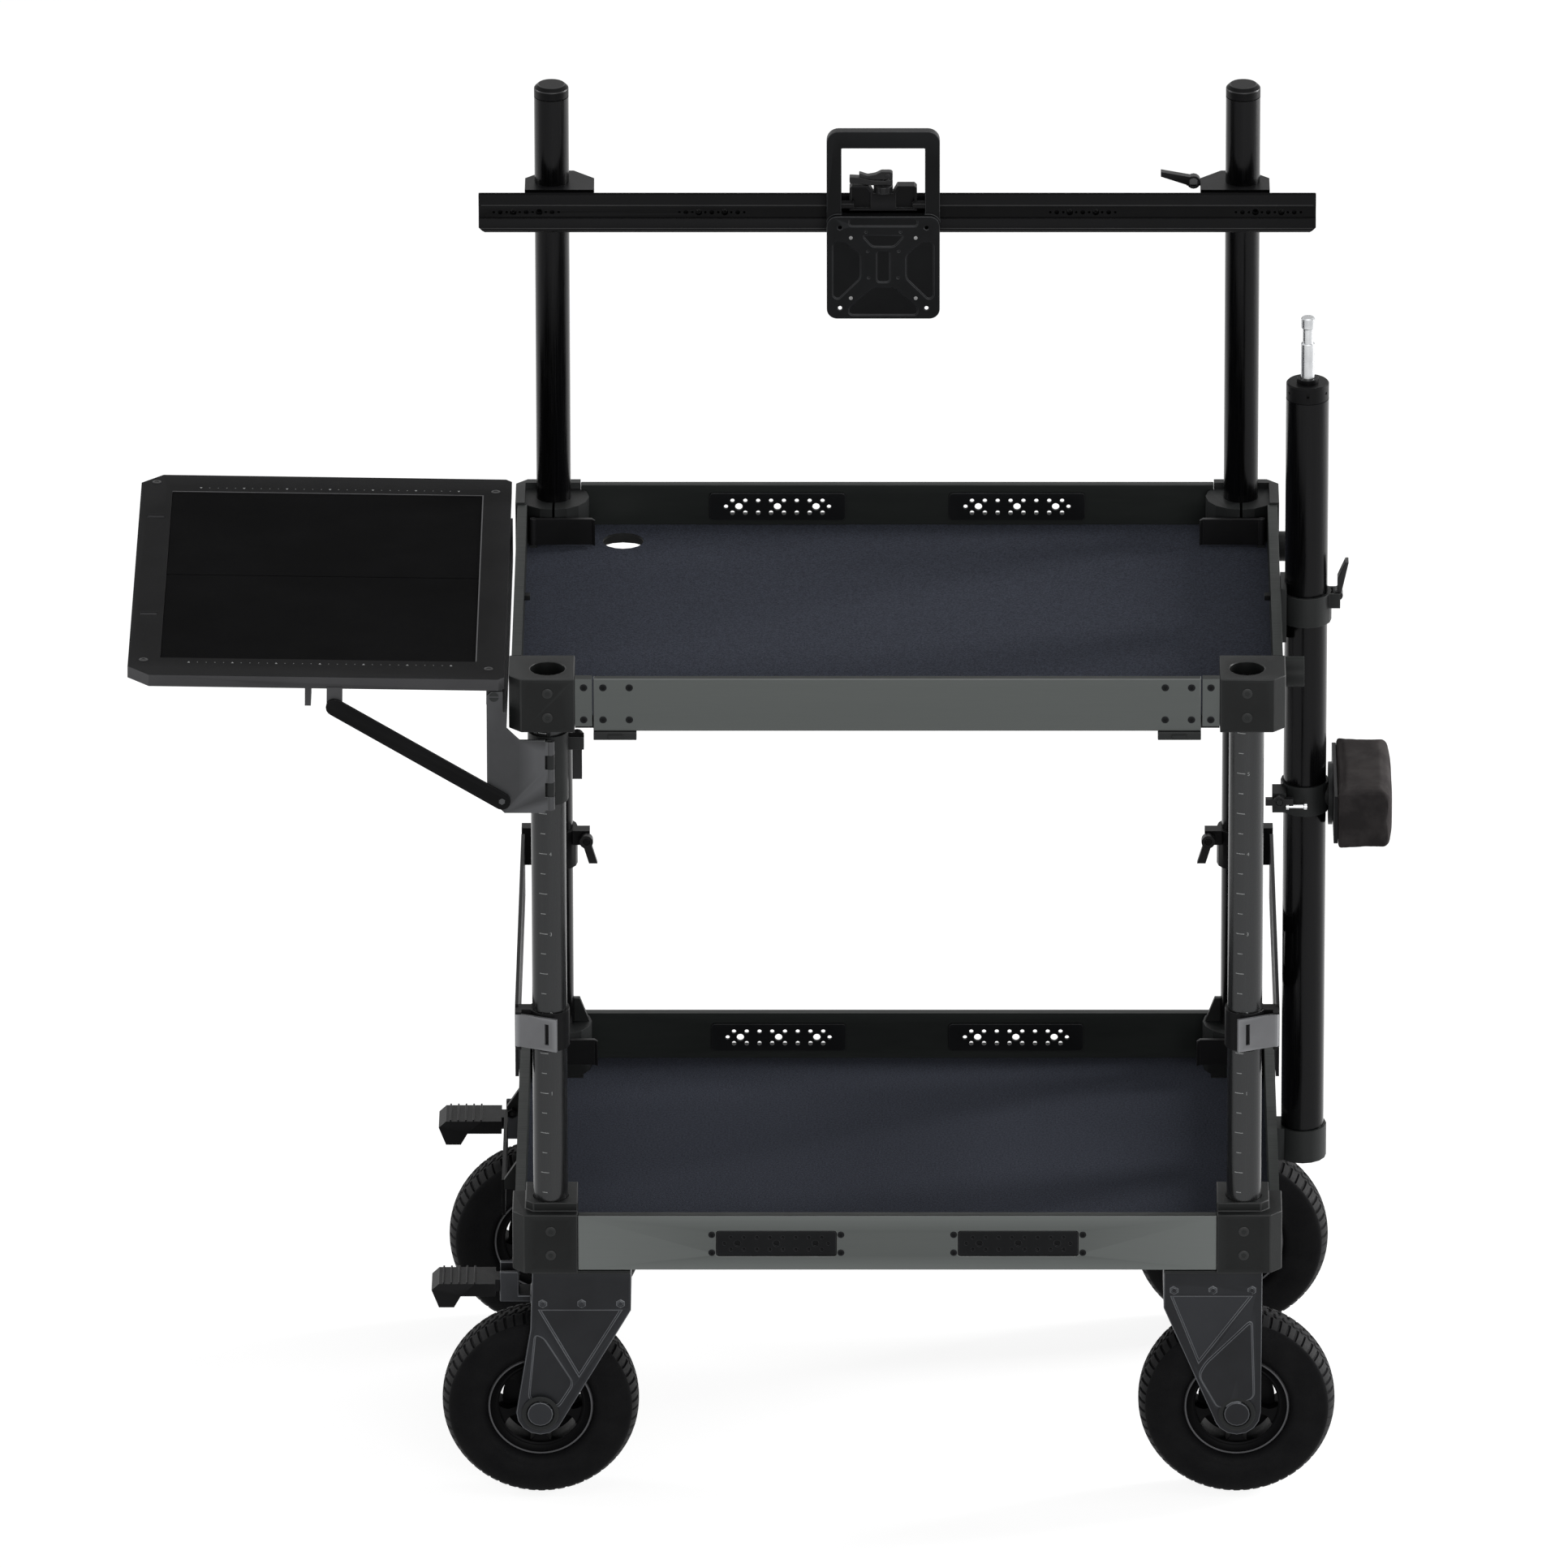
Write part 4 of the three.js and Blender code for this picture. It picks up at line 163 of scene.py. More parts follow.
def blended(tree, share, low, high):
    """Mixes two colours, given in thousandths; the first may be a socket."""
    low, high = [colour if isinstance(colour, bpy.types.NodeSocket) else
                 (*[value / 1000 for value in colour], 1) for colour in (low, high)]
    feeds = {MIX_SHARE: share, MIX_LOW: low, MIX_HIGH: high}
    return add_node(tree, "ShaderNodeMix", feeds, data_type="RGBA").outputs[MIX_RESULT]


def close_tree(tree, shading, colour, rough, height=None, bump=0.1, grain=0.0004):
    """Adds the shader and the output, and a relief where a height is given."""
    feeds = {**shading, "Base Color": colour, "Roughness": rough}
    if height is not None:
        relief = add_node(tree, "ShaderNodeBump",
                          {"Height": height, "Strength": bump, "Distance": grain})
        feeds["Normal"] = relief.outputs["Normal"]
    shader = add_node(tree, "ShaderNodeBsdfPrincipled", feeds)
    add_node(tree, "ShaderNodeOutputMaterial", {"Surface": shader.outputs["BSDF"]})


TONE_SCALE = 14
ROUGH_SWING = 0.06
HIGHLIGHT_FROM, HIGHLIGHT_TO = 0.52, 0.6
HIGHLIGHT_GAIN = 4


def metal_paint(name, dark, light, metallic, rough, grain_scale, stretch, bump, wear_and_highlight, specular):
    """Anodised or coated metal: mottled tone, grain in the relief and lighter convex edges, a
    painted highlight.
    """
    material, tree = new_tree(name)
    tone = ramp(tree, noise(tree, TONE_SCALE, 5, stretch), 0, 1)
    colour = blended(tree, tone, dark, light)
    # Convex edges, found by pointiness, get a lighter colour: a painted highlight
    if wear_and_highlight:
        edge = add_node(tree, "ShaderNodeNewGeometry").outputs["Pointiness"]
        share = ramp(tree, edge, 0, wear_and_highlight, HIGHLIGHT_FROM, HIGHLIGHT_TO)
        colour = blended(tree, share, colour, [min(1000, HIGHLIGHT_GAIN * value) for value in light])
    fine = noise(tree, grain_scale, 2, stretch)
    rough_map = ramp(tree, fine, rough - ROUGH_SWING, rough + ROUGH_SWING)
    shading = {"Metallic": metallic, "Specular IOR Level": specular}
    close_tree(tree, shading, colour, rough_map, fine, bump)
    return material


def grained(name, shading, cloud, dark, light, grain, rough, bump, relief):
    """Cloth, rubber or turned metal: a cloudy tone under a fine grain, which is also its relief."""
    material, tree = new_tree(name)
    scale, detail, roughness, *span = cloud
    tone = ramp(tree, noise(tree, scale, detail, roughness=roughness), 0, 1, *span)
    fine = noise(tree, *grain)
    close_tree(tree, shading, blended(tree, tone, dark, light), ramp(tree, fine, *rough), fine,
               bump, relief)
    return material


def marking_ink():
    """Pale printed ink, a little worn."""
    material, tree = new_tree("ink")
    # Here the pale patches are wear of the ink, from noise
    wear_and_highlight = ramp(tree, noise(tree, 500, 3), 0, 1, 0.3, 0.7)
    colour = blended(tree, wear_and_highlight, (280, 290, 290), (500, 510, 510))
    close_tree(tree, {"Specular IOR Level": 0.2}, colour, ramp(tree, wear_and_highlight, 0.5, 0.7))
    return material


LENGTHWISE = (0.03, 1, 1)
UPWARD = (1, 1, 0.03)
TURNED = (1, 1, 60)
# What grained takes for each: shading, cloud noise with its range, dark and light colour in
# thousandths, grain noise, roughness, bump and depth of the relief
CLOTHS = {
    # Short heather carpet: flecked dark blue-grey yarn with a soft pile
    "carpet": (
        {"Sheen Weight": 0.12, "Sheen Roughness": 0.6, "Specular IOR Level": 0.05,
         "Sheen Tint": (0.55, 0.58, 0.7, 1)},
        (420, 4, 0.8, 0.38, 0.62), (14, 16, 22), (50, 56, 76),
        (900, 3, EVEN, 0.8), (0.85, 1), 0.7, 0.0012),
    # Brushed suede with a brown-grey nap
    "suede": (
        {"Sheen Weight": 0.08, "Sheen Roughness": 0.5, "Specular IOR Level": 0.06,
         "Sheen Tint": (0.6, 0.54, 0.52, 1)},
        (26, 5, 0.6, 0.4, 0.62), (27, 24.5, 25), (46, 42, 42),
        (1200, 3, EVEN, 0.8), (0.85, 1), 0.4, 0.0008),
    # Very dark microfibre of the tablet mat
    "mat": (
        {"Specular IOR Level": 0.02, "Sheen Weight": 0.004, "Sheen Roughness": 0.6},
        (9, 4, 0.55, 0.35, 0.65), (2.2, 2.2, 2.4), (4.2, 4.2, 4.5),
        (1400, 3, EVEN, 0.55), (0.8, 0.95), 0.3, 0.0003),
    # Black rubber with a dull, slightly dusty skin
    "rubber": (
        {"Specular IOR Level": 0.06},
        (30, 5, 0.55, 0.35, 0.65), (3.5, 3.5, 4), (7.5, 7.5, 8),
        (700, 3, EVEN, 0.55), (0.5, 0.68), 0.25, 0.0004),
    # Steel turned about the upright axis
    "steel": (
        {"Metallic": 1},
        (20, 4, 0.55, 0.35, 0.65), (500, 510, 520), (700, 710, 720),
        (60, 2, TURNED, 0.55), (0.16, 0.3), 0.05, 0.0004),
}
# What metal_paint takes for each: dark and light colour in thousandths, metallic, roughness, grain,
# stretch, bump, share of the painted edge highlight and specular
COATINGS = {
    "anodised": ((52, 57, 55), (64, 69, 67), 0.3, 0.46, 900, LENGTHWISE, 0.08, 0.35, 0.25),
    # A lighter copy of anodised for the lower front rail, which gets less light: painted light
    "anodised_painted_light": ((72, 79, 76), (88, 95, 92), 0.3, 0.46, 900, LENGTHWISE, 0.08, 0.35, 0.25),
    # A darker copy for inner faces and tops: painted shade
    "painted_shade": ((8, 9.5, 9), (12.5, 14.5, 13.5), 0.2, 0.5, 900, LENGTHWISE, 0.08, 0.25, 0.2),
    "casting": ((6.5, 7, 7), (10.5, 11.2, 11.2), 0.1, 0.5, 1500, EVEN, 0.3, 0.6, 0.16),
    "gunmetal": ((32, 33, 34), (44, 45, 46), 0.75, 0.26, 700, UPWARD, 0.06, 0, 0.3),
    "black": ((2.6, 2.6, 2.8), (4.5, 4.5, 4.8), 0.2, 0.4, 1100, EVEN, 0.12, 0.6, 0.08),
    "rim": ((1.8, 1.8, 2), (3, 3, 3.4), 0, 0.45, 900, EVEN, 0.12, 0, 0.05),
    "rimlip": ((50, 50, 53), (85, 85, 90), 0.5, 0.36, 900, EVEN, 0.12, 0, 0.4),
    "lever": ((6, 6, 6.4), (10, 10, 10.5), 0.15, 0.38, 1200, EVEN, 0.15, 0.5, 0.2),
    "plate": ((3.6, 3.8, 4.2), (6, 6.3, 6.8), 0.25, 0.4, 1100, EVEN, 0.12, 0.7, 0.1),
    "board": ((6.5, 6.5, 6.8), (9.5, 9.5, 9.9), 0, 0.7, 1600, EVEN, 0.3, 0.4, 0.05),
    # Lighter board for its sides and the mat's rims: painted highlight
    "board_painted_highlight": ((36, 36, 38), (46, 46, 48), 0.2, 0.5, 1400, EVEN, 0.2, 0.3, 0.2),
    # Lighter rubber for the tread block tops: painted highlight
    "tread_with_painted_highlight": ((8.5, 8.5, 9), (13.5, 13.5, 14), 0, 0.6, 700, EVEN, 0.12, 0, 0.1),
    "gunblack": ((6, 6, 6.5), (11, 11, 11.5), 0.75, 0.22, 700, UPWARD, 0.06, 0, 0.3),
    "forged": ((12, 12.5, 14.5), (18, 19, 21.5), 0.2, 0.46, 1200, EVEN, 0.25, 0.5, 0.2),
    "bracket": ((40, 41, 43), (50, 51, 54), 0.3, 0.46, 1200, EVEN, 0.12, 0.3, 0.3),
    "latch": ((140, 142, 148), (180, 182, 190), 0.4, 0.42, 1200, EVEN, 0.1, 0.3, 0.4),
    # The next seven rows are lighter copies for rounded edges: painted highlights
    "castingedge": ((16, 17, 17), (30, 31, 31), 0.2, 0.42, 1500, EVEN, 0.12, 0, 0.25),
    "plateedge": ((14, 14.5, 16), (26, 27, 29), 0.3, 0.38, 1100, EVEN, 0.12, 0, 0.3),
    "forgededge": ((70, 73, 80), (110, 115, 124), 0.4, 0.38, 1200, EVEN, 0.12, 0, 0.4),
    "blackedge": ((20, 20, 21), (36, 36, 37), 0.35, 0.38, 1100, EVEN, 0.12, 0, 0.3),
    "leveredge": ((20, 20, 21), (36, 36, 38), 0.3, 0.36, 1200, EVEN, 0.12, 0, 0.35),
    "railedge": ((90, 95, 93), (120, 126, 123), 0.4, 0.4, 900, LENGTHWISE, 0.08, 0, 0.5),
    "latchedge": ((160, 163, 170), (200, 203, 210), 0.45, 0.38, 1200, EVEN, 0.12, 0, 0.5),
    "steelscrew": ((200, 200, 200), (300, 300, 300), 0.8, 0.35, 900, EVEN, 0.12, 0, 0.5),
    "webbing": ((30, 30, 32), (50, 50, 52), 0, 0.85, 2200, EVEN, 0.6, 0, 0.1),
}
PAINTS = {name: metal_paint(name, *row) for name, row in COATINGS.items()}
PAINTS.update({name: grained(name, *row) for name, row in CLOTHS.items()})
PAINTS["ink"] = marking_ink()


# Lighter paint for the rounded edges: a painted highlight
EDGES = {name: name + "edge" for name in ("casting", "plate", "forged", "black", "lever", "latch")}
EDGES.update(dict.fromkeys(("anodised", "anodised_painted_light", "bracket"), "railedge"))
# Slots of screws whose paint has another name
SCREW_SLOTS = {"steelscrew": "steel", "castingedge": "casting"}


# Mesh helpers

def piece_from(name, bm, paint, body, slot=None, bevel=0, clamped=True):
    """Turns a bmesh into a finished piece that rides on a body; its rounded edges get a lighter
    paint, a painted highlight.
    """
    bmesh.ops.recalc_face_normals(bm, faces=bm.faces)
    mesh = mesh_of(name, bm)
    piece = placed(name, mesh)
    paints = paint if isinstance(paint, (list, tuple)) else [paint]
    for one in paints:
        mesh.materials.append(PAINTS[one])
    if bevel:
        edge = EDGES.get(paints[0])
        if edge:
            mesh.materials.append(PAINTS[edge])
        # The rounded edges take the lighter edge paint: a painted highlight
        rounding = piece.modifiers.new("rounding", "BEVEL")
        rounding.material = len(paints) if edge else -1
        rounding.width = bevel * MM
        rounding.segments = BEVEL_STEPS
        rounding.limit_method = "ANGLE"
        rounding.angle_limit = SMOOTH_ANGLE
        rounding.use_clamp_overlap = clamped
    shade(piece)
    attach(piece, body)
    slot or paints[0]
    return piece


def shade(piece):
    """Smooth shading with sharp creases, and flats kept flat beside their rounded edges."""
    mesh = piece.data
    mesh.shade_smooth()
    mesh.set_sharp_from_angle(angle=SMOOTH_ANGLE)
    weighted = piece.modifiers.new("weighted", "WEIGHTED_NORMAL")
    weighted.keep_sharp = True
    weighted.weight = FLAT_WEIGHT


def body_of(node):
    return frame["nodes"][node]["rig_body"]


def slot_of(node):
    for row in frame["record"]["subparts"]:
        if row["node"] == node:
            return row["material_slot"]
    return None


def skin(node, paint=None, bevel=0.7, pick=None, clamped=True):
    """A dressed copy of a CAD node: flats merged, edges rounded, painted face by face."""
    slot = slot_of(node)
    bm = bmesh.new()
    bm.from_mesh(frame["nodes"][node].data)
    bmesh.ops.remove_doubles(bm, verts=bm.verts, dist=MERGE_DISTANCE)
    bmesh.ops.dissolve_limit(bm, angle_limit=FLAT_ANGLE, verts=bm.verts, edges=bm.edges,
                             use_dissolve_boundaries=False)
    if pick:
        for face in bm.faces:
            face.material_index = pick(face.calc_center_median(), face.normal)
    piece = piece_from(node + "_skin", bm, paint or slot, body_of(node), slot, bevel, clamped)
    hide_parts(node)
    return piece


def ring_profile(profile, axis, centre, steps):
    """A turned bmesh: the profile lists (radius, place along the axis)."""
    bm = bmesh.new()
    along = {"x": Vector((1, 0, 0)), "y": Vector((0, 1, 0)), "z": UP}[axis]
    side = {"x": Vector((0, 1, 0)), "y": UP, "z": Vector((1, 0, 0))}[axis]
    other = along.cross(side)
    rows = []
    for radius, place in profile:
        middle = Vector(centre) + along * place
        if not radius:
            rows.append([bm.verts.new(middle)])
            continue
        row = []
        for step in range(steps):
            angle = 2 * math.pi * step / steps
            out = math.cos(angle) * side + math.sin(angle) * other
            row.append(bm.verts.new(middle + radius * out))
        rows.append(row)
    for near, far in zip(rows, rows[1:]):
        join_rows(bm, near, far)
    return bm


def join_rows(bm, near, far):
    count = max(len(near), len(far))
    for step in range(count):
        after = (step + 1) % count
        unique = list(dict.fromkeys([near[step % len(near)], near[after % len(near)],
                                     far[after % len(far)], far[step % len(far)]]))
        if len(unique) > 2:
            bm.faces.new(unique)


def turned(name, profile, axis, centre, paint, body, slot=None, bevel=0, steps=72):
    bm = ring_profile(scaled(profile), axis, centre, steps)
    return piece_from(name, bm, paint, body, slot, bevel)


def add_box(bm, low, high):
    low, high = Vector(low), Vector(high)
    size = high - low
    made = bmesh.ops.create_cube(bm, size=1)
    bmesh.ops.scale(bm, vec=size, verts=made["verts"])
    bmesh.ops.translate(bm, vec=(low + high) / 2, verts=made["verts"])


def add_rod(bm, axis, place, radius, length, steps):
    turn = {"x": Matrix.Rotation(math.pi / 2, 4, "Y"), "y": Matrix.Rotation(math.pi / 2, 4, "X"),
            "z": Matrix.Identity(4)}[axis]
    size = radius * MM
    bmesh.ops.create_cone(bm, cap_ends=True, segments=steps, radius1=size, radius2=size,
                          depth=length * MM, matrix=Matrix.Translation(at(*place)) @ turn)


def cut_with(piece, bm, rounded=True):
    """Cuts the shape of a bmesh out of a piece, with rounded rims or plain ones."""
    bmesh.ops.recalc_face_normals(bm, faces=bm.faces)
    cutter = placed("cutter", mesh_of("cutter", bm))
    cutting = piece.modifiers.new("cutting", "BOOLEAN")
    cutting.operation = "DIFFERENCE"
    cutting.solver = "EXACT"
    cutting.object = cutter
    if rounded:
        piece.modifiers.move(len(piece.modifiers) - 1, 0)
    piece.modifiers.remove(piece.modifiers["weighted"])
    settle(piece)
    bpy.data.objects.remove(cutter)
    return piece


def settle(piece):
    """Applies a piece's modifiers to its mesh."""
    bpy.context.view_layer.update()
    seen = bpy.context.evaluated_depsgraph_get()
    mesh = bpy.data.meshes.new_from_object(piece.evaluated_get(seen), depsgraph=seen)
    mesh.name = piece.name
    piece.modifiers.clear()
    piece.data = mesh
    shade(piece)


def paint_faces(piece, paint, test):
    """Gives the faces that pass a test, by centre and normal, another paint."""
    piece.data.materials.append(PAINTS[paint])
    for face in piece.data.polygons:
        if test(face.center, face.normal):
            face.material_index = len(piece.data.materials) - 1


# Places are given in millimetres: X right, Y back and Z up from the floor

def at(x, y, z):
    return Vector((x * MM, y * MM, z * MM + floor_z))


def scaled(profile):
    return [(radius * MM, place * MM) for radius, place in profile]


def softened(outline, radius):
    """Rounds the corners of an outline."""
    done = []
    count = len(outline)
    for index, corner in enumerate(outline):
        here = Vector(corner)
        back = Vector(outline[index - 1]) - here
        ahead = Vector(outline[(index + 1) % count]) - here
        reach = min(radius, back.length * 0.45, ahead.length * 0.45)
        start = here + back.normalized() * reach
        end = here + ahead.normalized() * reach
        for step in range(CORNER_STEPS + 1):
            t = step / CORNER_STEPS
            done.append(tuple((1 - t) ** 2 * start + 2 * t * (1 - t) * here + t * t * end))
    return done


def rectangle(u0, u1, v0, v1, radius=0):
    outline = [(u0, v0), (u1, v0), (u1, v1), (u0, v1)]
    return softened(outline, radius) if radius else outline


def add_slab(bm, near, far):
    """Closes the space between two rows of places."""
    near, far = [[bm.verts.new(place) for place in row] for row in (near, far)]
    bm.faces.new(near)
    bm.faces.new(far[::-1])
    join_rows(bm, near, far)


def add_prism(bm, axis, outline, low, high):
    """Extrudes an outline along an axis: (x, y) for z, (x, z) for y and (y, z) for x."""
    def corner(u, v, w):
        return {"x": at(w, u, v), "y": at(u, w, v), "z": at(u, v, w)}[axis]

    add_slab(bm, *[[corner(u, v, w) for u, v in outline] for w in (low, high)])


def prism(name, axis, outline, low, high, paint, body, slot=None, bevel=0):
    bm = bmesh.new()
    add_prism(bm, axis, outline, low, high)
    return piece_from(name, bm, paint, body, slot, bevel)


def rods(axis, places, radius, length, steps):
    """One bmesh of rods centred on places, to cut holes or to stand as pins."""
    bm = bmesh.new()
    for place in places:
        add_rod(bm, axis, place, radius, length, steps)
    return bm


def four(x, y, z, half_x, half_z):
    """The corners of an upright rectangle."""
    return [(x + side * half_x, y, z + up * half_z) for side in (-1, 1) for up in (-1, 1)]


def screws(name, places, body, radius, proud, paint, way=-1):
    """Socket screws with hexagon recesses, all in one piece."""
    bm = bmesh.new()
    turn = UP.rotation_difference(Vector((0, way, 0))).to_matrix().to_4x4()
    for place in places:
        head = screw_head(radius * MM, proud * MM)
        bmesh.ops.transform(head, matrix=Matrix.Translation(at(*place)) @ turn, verts=head.verts)
        merge(bm, head)
    return piece_from(name, bm, paint, body, SCREW_SLOTS.get(paint, paint))


def screw_head(radius, proud):
    section = [(0, -proud), (radius, -proud), (radius, proud * 0.6), (radius * 0.86, proud)]
    bm = ring_profile(section, "z", (0, 0, 0), 24)
    rim = [vertex for vertex in bm.verts if abs(vertex.co.z - proud) < 1e-9]
    size = 0.55 * radius
    mouth = [bm.verts.new((size * u, size * v, proud)) for u, v in hexagon(24)]
    base = [bm.verts.new((vertex.co.x, vertex.co.y, proud * 0.15)) for vertex in mouth]
    join_rows(bm, rim, mouth)
    join_rows(bm, mouth, base)
    bm.faces.new(base)
    return bm


def hexagon(count):
    """Points on a hexagon's edge, at even angles."""
    places = []
    for index in range(count):
        angle = 2 * math.pi * index / count
        reach = math.cos(math.pi / 6) / math.cos((angle % (math.pi / 3)) - math.pi / 6)
        places.append((reach * math.cos(angle), reach * math.sin(angle)))
    return places


def merge(target, source):
    mesh = mesh_of("part", source)
    target.from_mesh(mesh)
    bpy.data.meshes.remove(mesh)


FACING = 0.9
OVERRUN = 5
SIDES = {"left": -1, "right": 1}
ENDS = {"front": -1, "back": 1}

# Posts

POST_X = 400
POST_Y = 265
POST_RADIUS = 20
POST_BORE = 17
POST_FOOT = 312
FRONT_POST_TOP = 1029.5
BACK_POST_TOP = 1554.8
CAP_HEIGHT = 15.1
CAP_CHAMFER = 4.5
SCALE_ZERO = 421.5
TICK_HEIGHT = 0.9
TICK_PITCH = 25
MARK_PARTS = 4
TICKS = (-1, 23)
LONG_TICK = (-11.5, -1.5)
SHORT_TICK = (-9.5, -3.5)
DIGIT_PLACE = 0.8
DIGIT_HEIGHT = 4.6
INK_PROUD = 0.08


def make_posts():
    for side, sign in SIDES.items():
        place = at(sign * POST_X, -POST_Y, 0)
        foot = (POST_BORE, POST_FOOT)
        profile = [foot, (POST_RADIUS, POST_FOOT), (POST_RADIUS, FRONT_POST_TOP - 1),
                   (POST_RADIUS - 1, FRONT_POST_TOP), (POST_BORE, FRONT_POST_TOP), foot]
        name = "front_post_" + side
        piece = turned(name + "_tube", profile, "z", place, "gunmetal", "frame")
        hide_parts(name)
        make_scale(side, sign)
        place = at(sign * POST_X, POST_Y, 0)
        cap_foot = BACK_POST_TOP - CAP_HEIGHT
        tube = [(0, POST_FOOT), (POST_RADIUS, POST_FOOT), (POST_RADIUS, cap_foot), (0, cap_foot)]
        name = "back_post_" + side
        piece = turned(name + "_tube", tube, "z", place, "gunblack", "frame", "gunmetal")
        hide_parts(name)
        cap = [(0, cap_foot + 0.2), (POST_RADIUS - 0.6, cap_foot + 0.2),
               (POST_RADIUS, cap_foot + 1.2), (POST_RADIUS, BACK_POST_TOP - CAP_CHAMFER),
               (POST_RADIUS - CAP_CHAMFER, BACK_POST_TOP), (0, BACK_POST_TOP)]
        turned(name + "_cap", cap, "z", place, "black", "frame", bevel=0.8)


def wrap(bm, centre_x):
    """Lays flat marks, drawn in X and Z, round a front post."""
    radius = POST_RADIUS + INK_PROUD
    for vertex in bm.verts:
        angle = vertex.co.x / radius
        vertex.co = at(centre_x + radius * math.sin(angle), -POST_Y - radius * math.cos(angle),
                       vertex.co.z)


def flat_mark(bm, x0, x1, z0, z1):
    for step in range(MARK_PARTS):
        a = x0 + (x1 - x0) * step / MARK_PARTS
        b = x0 + (x1 - x0) * (step + 1) / MARK_PARTS
        corners = [(a, z0), (b, z0), (b, z1), (a, z1)]
        bm.faces.new([bm.verts.new((x, 0, z)) for x, z in corners])


def digit_mark(bm, text, x, z, height):
    curve = bpy.data.curves.new("digit", "FONT")
    curve.body = text
    curve.size = height * 1.35
    curve.resolution_u = 3
    holder = placed("digit", curve)
    bpy.context.view_layer.update()
    mesh = bpy.data.meshes.new_from_object(holder)
    first = len(bm.verts)
    bm.from_mesh(mesh)
    bm.verts.ensure_lookup_table()
    for vertex in bm.verts[first:]:
        vertex.co = (x + vertex.co.x, 0, z + vertex.co.y - height / 2)
    bpy.data.objects.remove(holder)
    bpy.data.meshes.remove(mesh)


def make_scale(side, sign):
    bm = bmesh.new()
    for step in range(*TICKS):
        z = SCALE_ZERO + TICK_PITCH * step
        x0, x1 = SHORT_TICK if step % 2 else LONG_TICK
        flat_mark(bm, x0, x1, z - TICK_HEIGHT / 2, z + TICK_HEIGHT / 2)
        if step % 4 == 0 and step > 0:
            digit_mark(bm, str(step // 4), DIGIT_PLACE, z, DIGIT_HEIGHT)
    wrap(bm, sign * POST_X)
    piece_from("scale_" + side, bm, "ink", "frame", "plate")


# Rails with their hole plates

RAIL_HEIGHTS = {"lower": (304.4, 372.7), "upper": (979.7, 1044.5)}
RAIL_HALF = 368.7
SHELF_HALF_DEPTH = 297
RAIL_THICK = 11
PLATE_X = 139.6
PLATE_HALF = 79
PLATE_HALF_HEIGHT = 17
PLATE_THICK = 4
PLATE_RISE = 22
WINDOW_MARGIN = 9
SMALL_HOLE_PITCH = 15
BIG_HOLE_PITCH = 45
END_HOLE_X = 60
FRONT_PLATE_MIDDLE = 337.4
FRONT_PLATE_HALF = 68.8
FRONT_PLATE_RISE = 15
RECESS_GAP = 0.8
PLATE_SCREWS = (74.5, 11.3)


def cut_pattern(piece, x, y, z, depth, small_radius, big_radius):
    """Cuts the small and the big holes of a plate."""
    small = [(x + (i - 3.5) * SMALL_HOLE_PITCH, y, z + rise * SMALL_HOLE_PITCH) for i in range(8)
             for rise in (-0.5, 0.5)]
    small += [(x - END_HOLE_X, y, z), (x + END_HOLE_X, y, z)]
    bm = rods("y", small, small_radius, depth, 16)
    big = [(x + step * BIG_HOLE_PITCH, y, z) for step in (-1, 0, 1)]
    merge(bm, rods("y", big, big_radius, depth, 24))
    return cut_with(piece, bm)


def rail_bar(node, level, near, paint):
    outline = rectangle(-RAIL_HALF, RAIL_HALF, *RAIL_HEIGHTS[level])
    return prism(node + "_bar", "y", outline, near, near + RAIL_THICK, paint, "frame", "anodised",
                 bevel=1.1)


def paint_shade_inside(piece, way):
    """The face towards the middle of the shelf and the top get a darker paint: painted shade."""
    paint_faces(piece, "painted_shade", lambda centre, normal: (
        way * normal.y > FACING or normal.z > FACING))


def plate_outline(sign, middle, half, rise, radius=0):
    return rectangle(sign * PLATE_X - half, sign * PLATE_X + half, middle - rise, middle + rise,
                     radius)


def make_back_rail(level):
    node = level + "_back_rail"
    inner = SHELF_HALF_DEPTH - RAIL_THICK
    middle = RAIL_HEIGHTS[level][0] + PLATE_RISE + PLATE_HALF_HEIGHT
    rail = rail_bar(node, level, inner, "anodised")
    windows = bmesh.new()
    for sign in (-1, 1):
        outline = plate_outline(sign, middle, PLATE_HALF - WINDOW_MARGIN,
                                PLATE_HALF_HEIGHT - WINDOW_MARGIN / 2)
        add_prism(windows, "y", outline, inner - OVERRUN, SHELF_HALF_DEPTH + OVERRUN)
    cut_with(rail, windows)
    paint_shade_inside(rail, -1)
    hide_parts(node)
    for side, sign in SIDES.items():
        outline = plate_outline(sign, middle, PLATE_HALF, PLATE_HALF_HEIGHT, 5)
        plate = prism(f"{node}_plate_{side}", "y", outline, inner - PLATE_THICK, inner - 0.1,
                      "plate", "frame", bevel=0.5)
        cut_pattern(plate, sign * PLATE_X, inner, middle, 30, 2.5, 4.3)


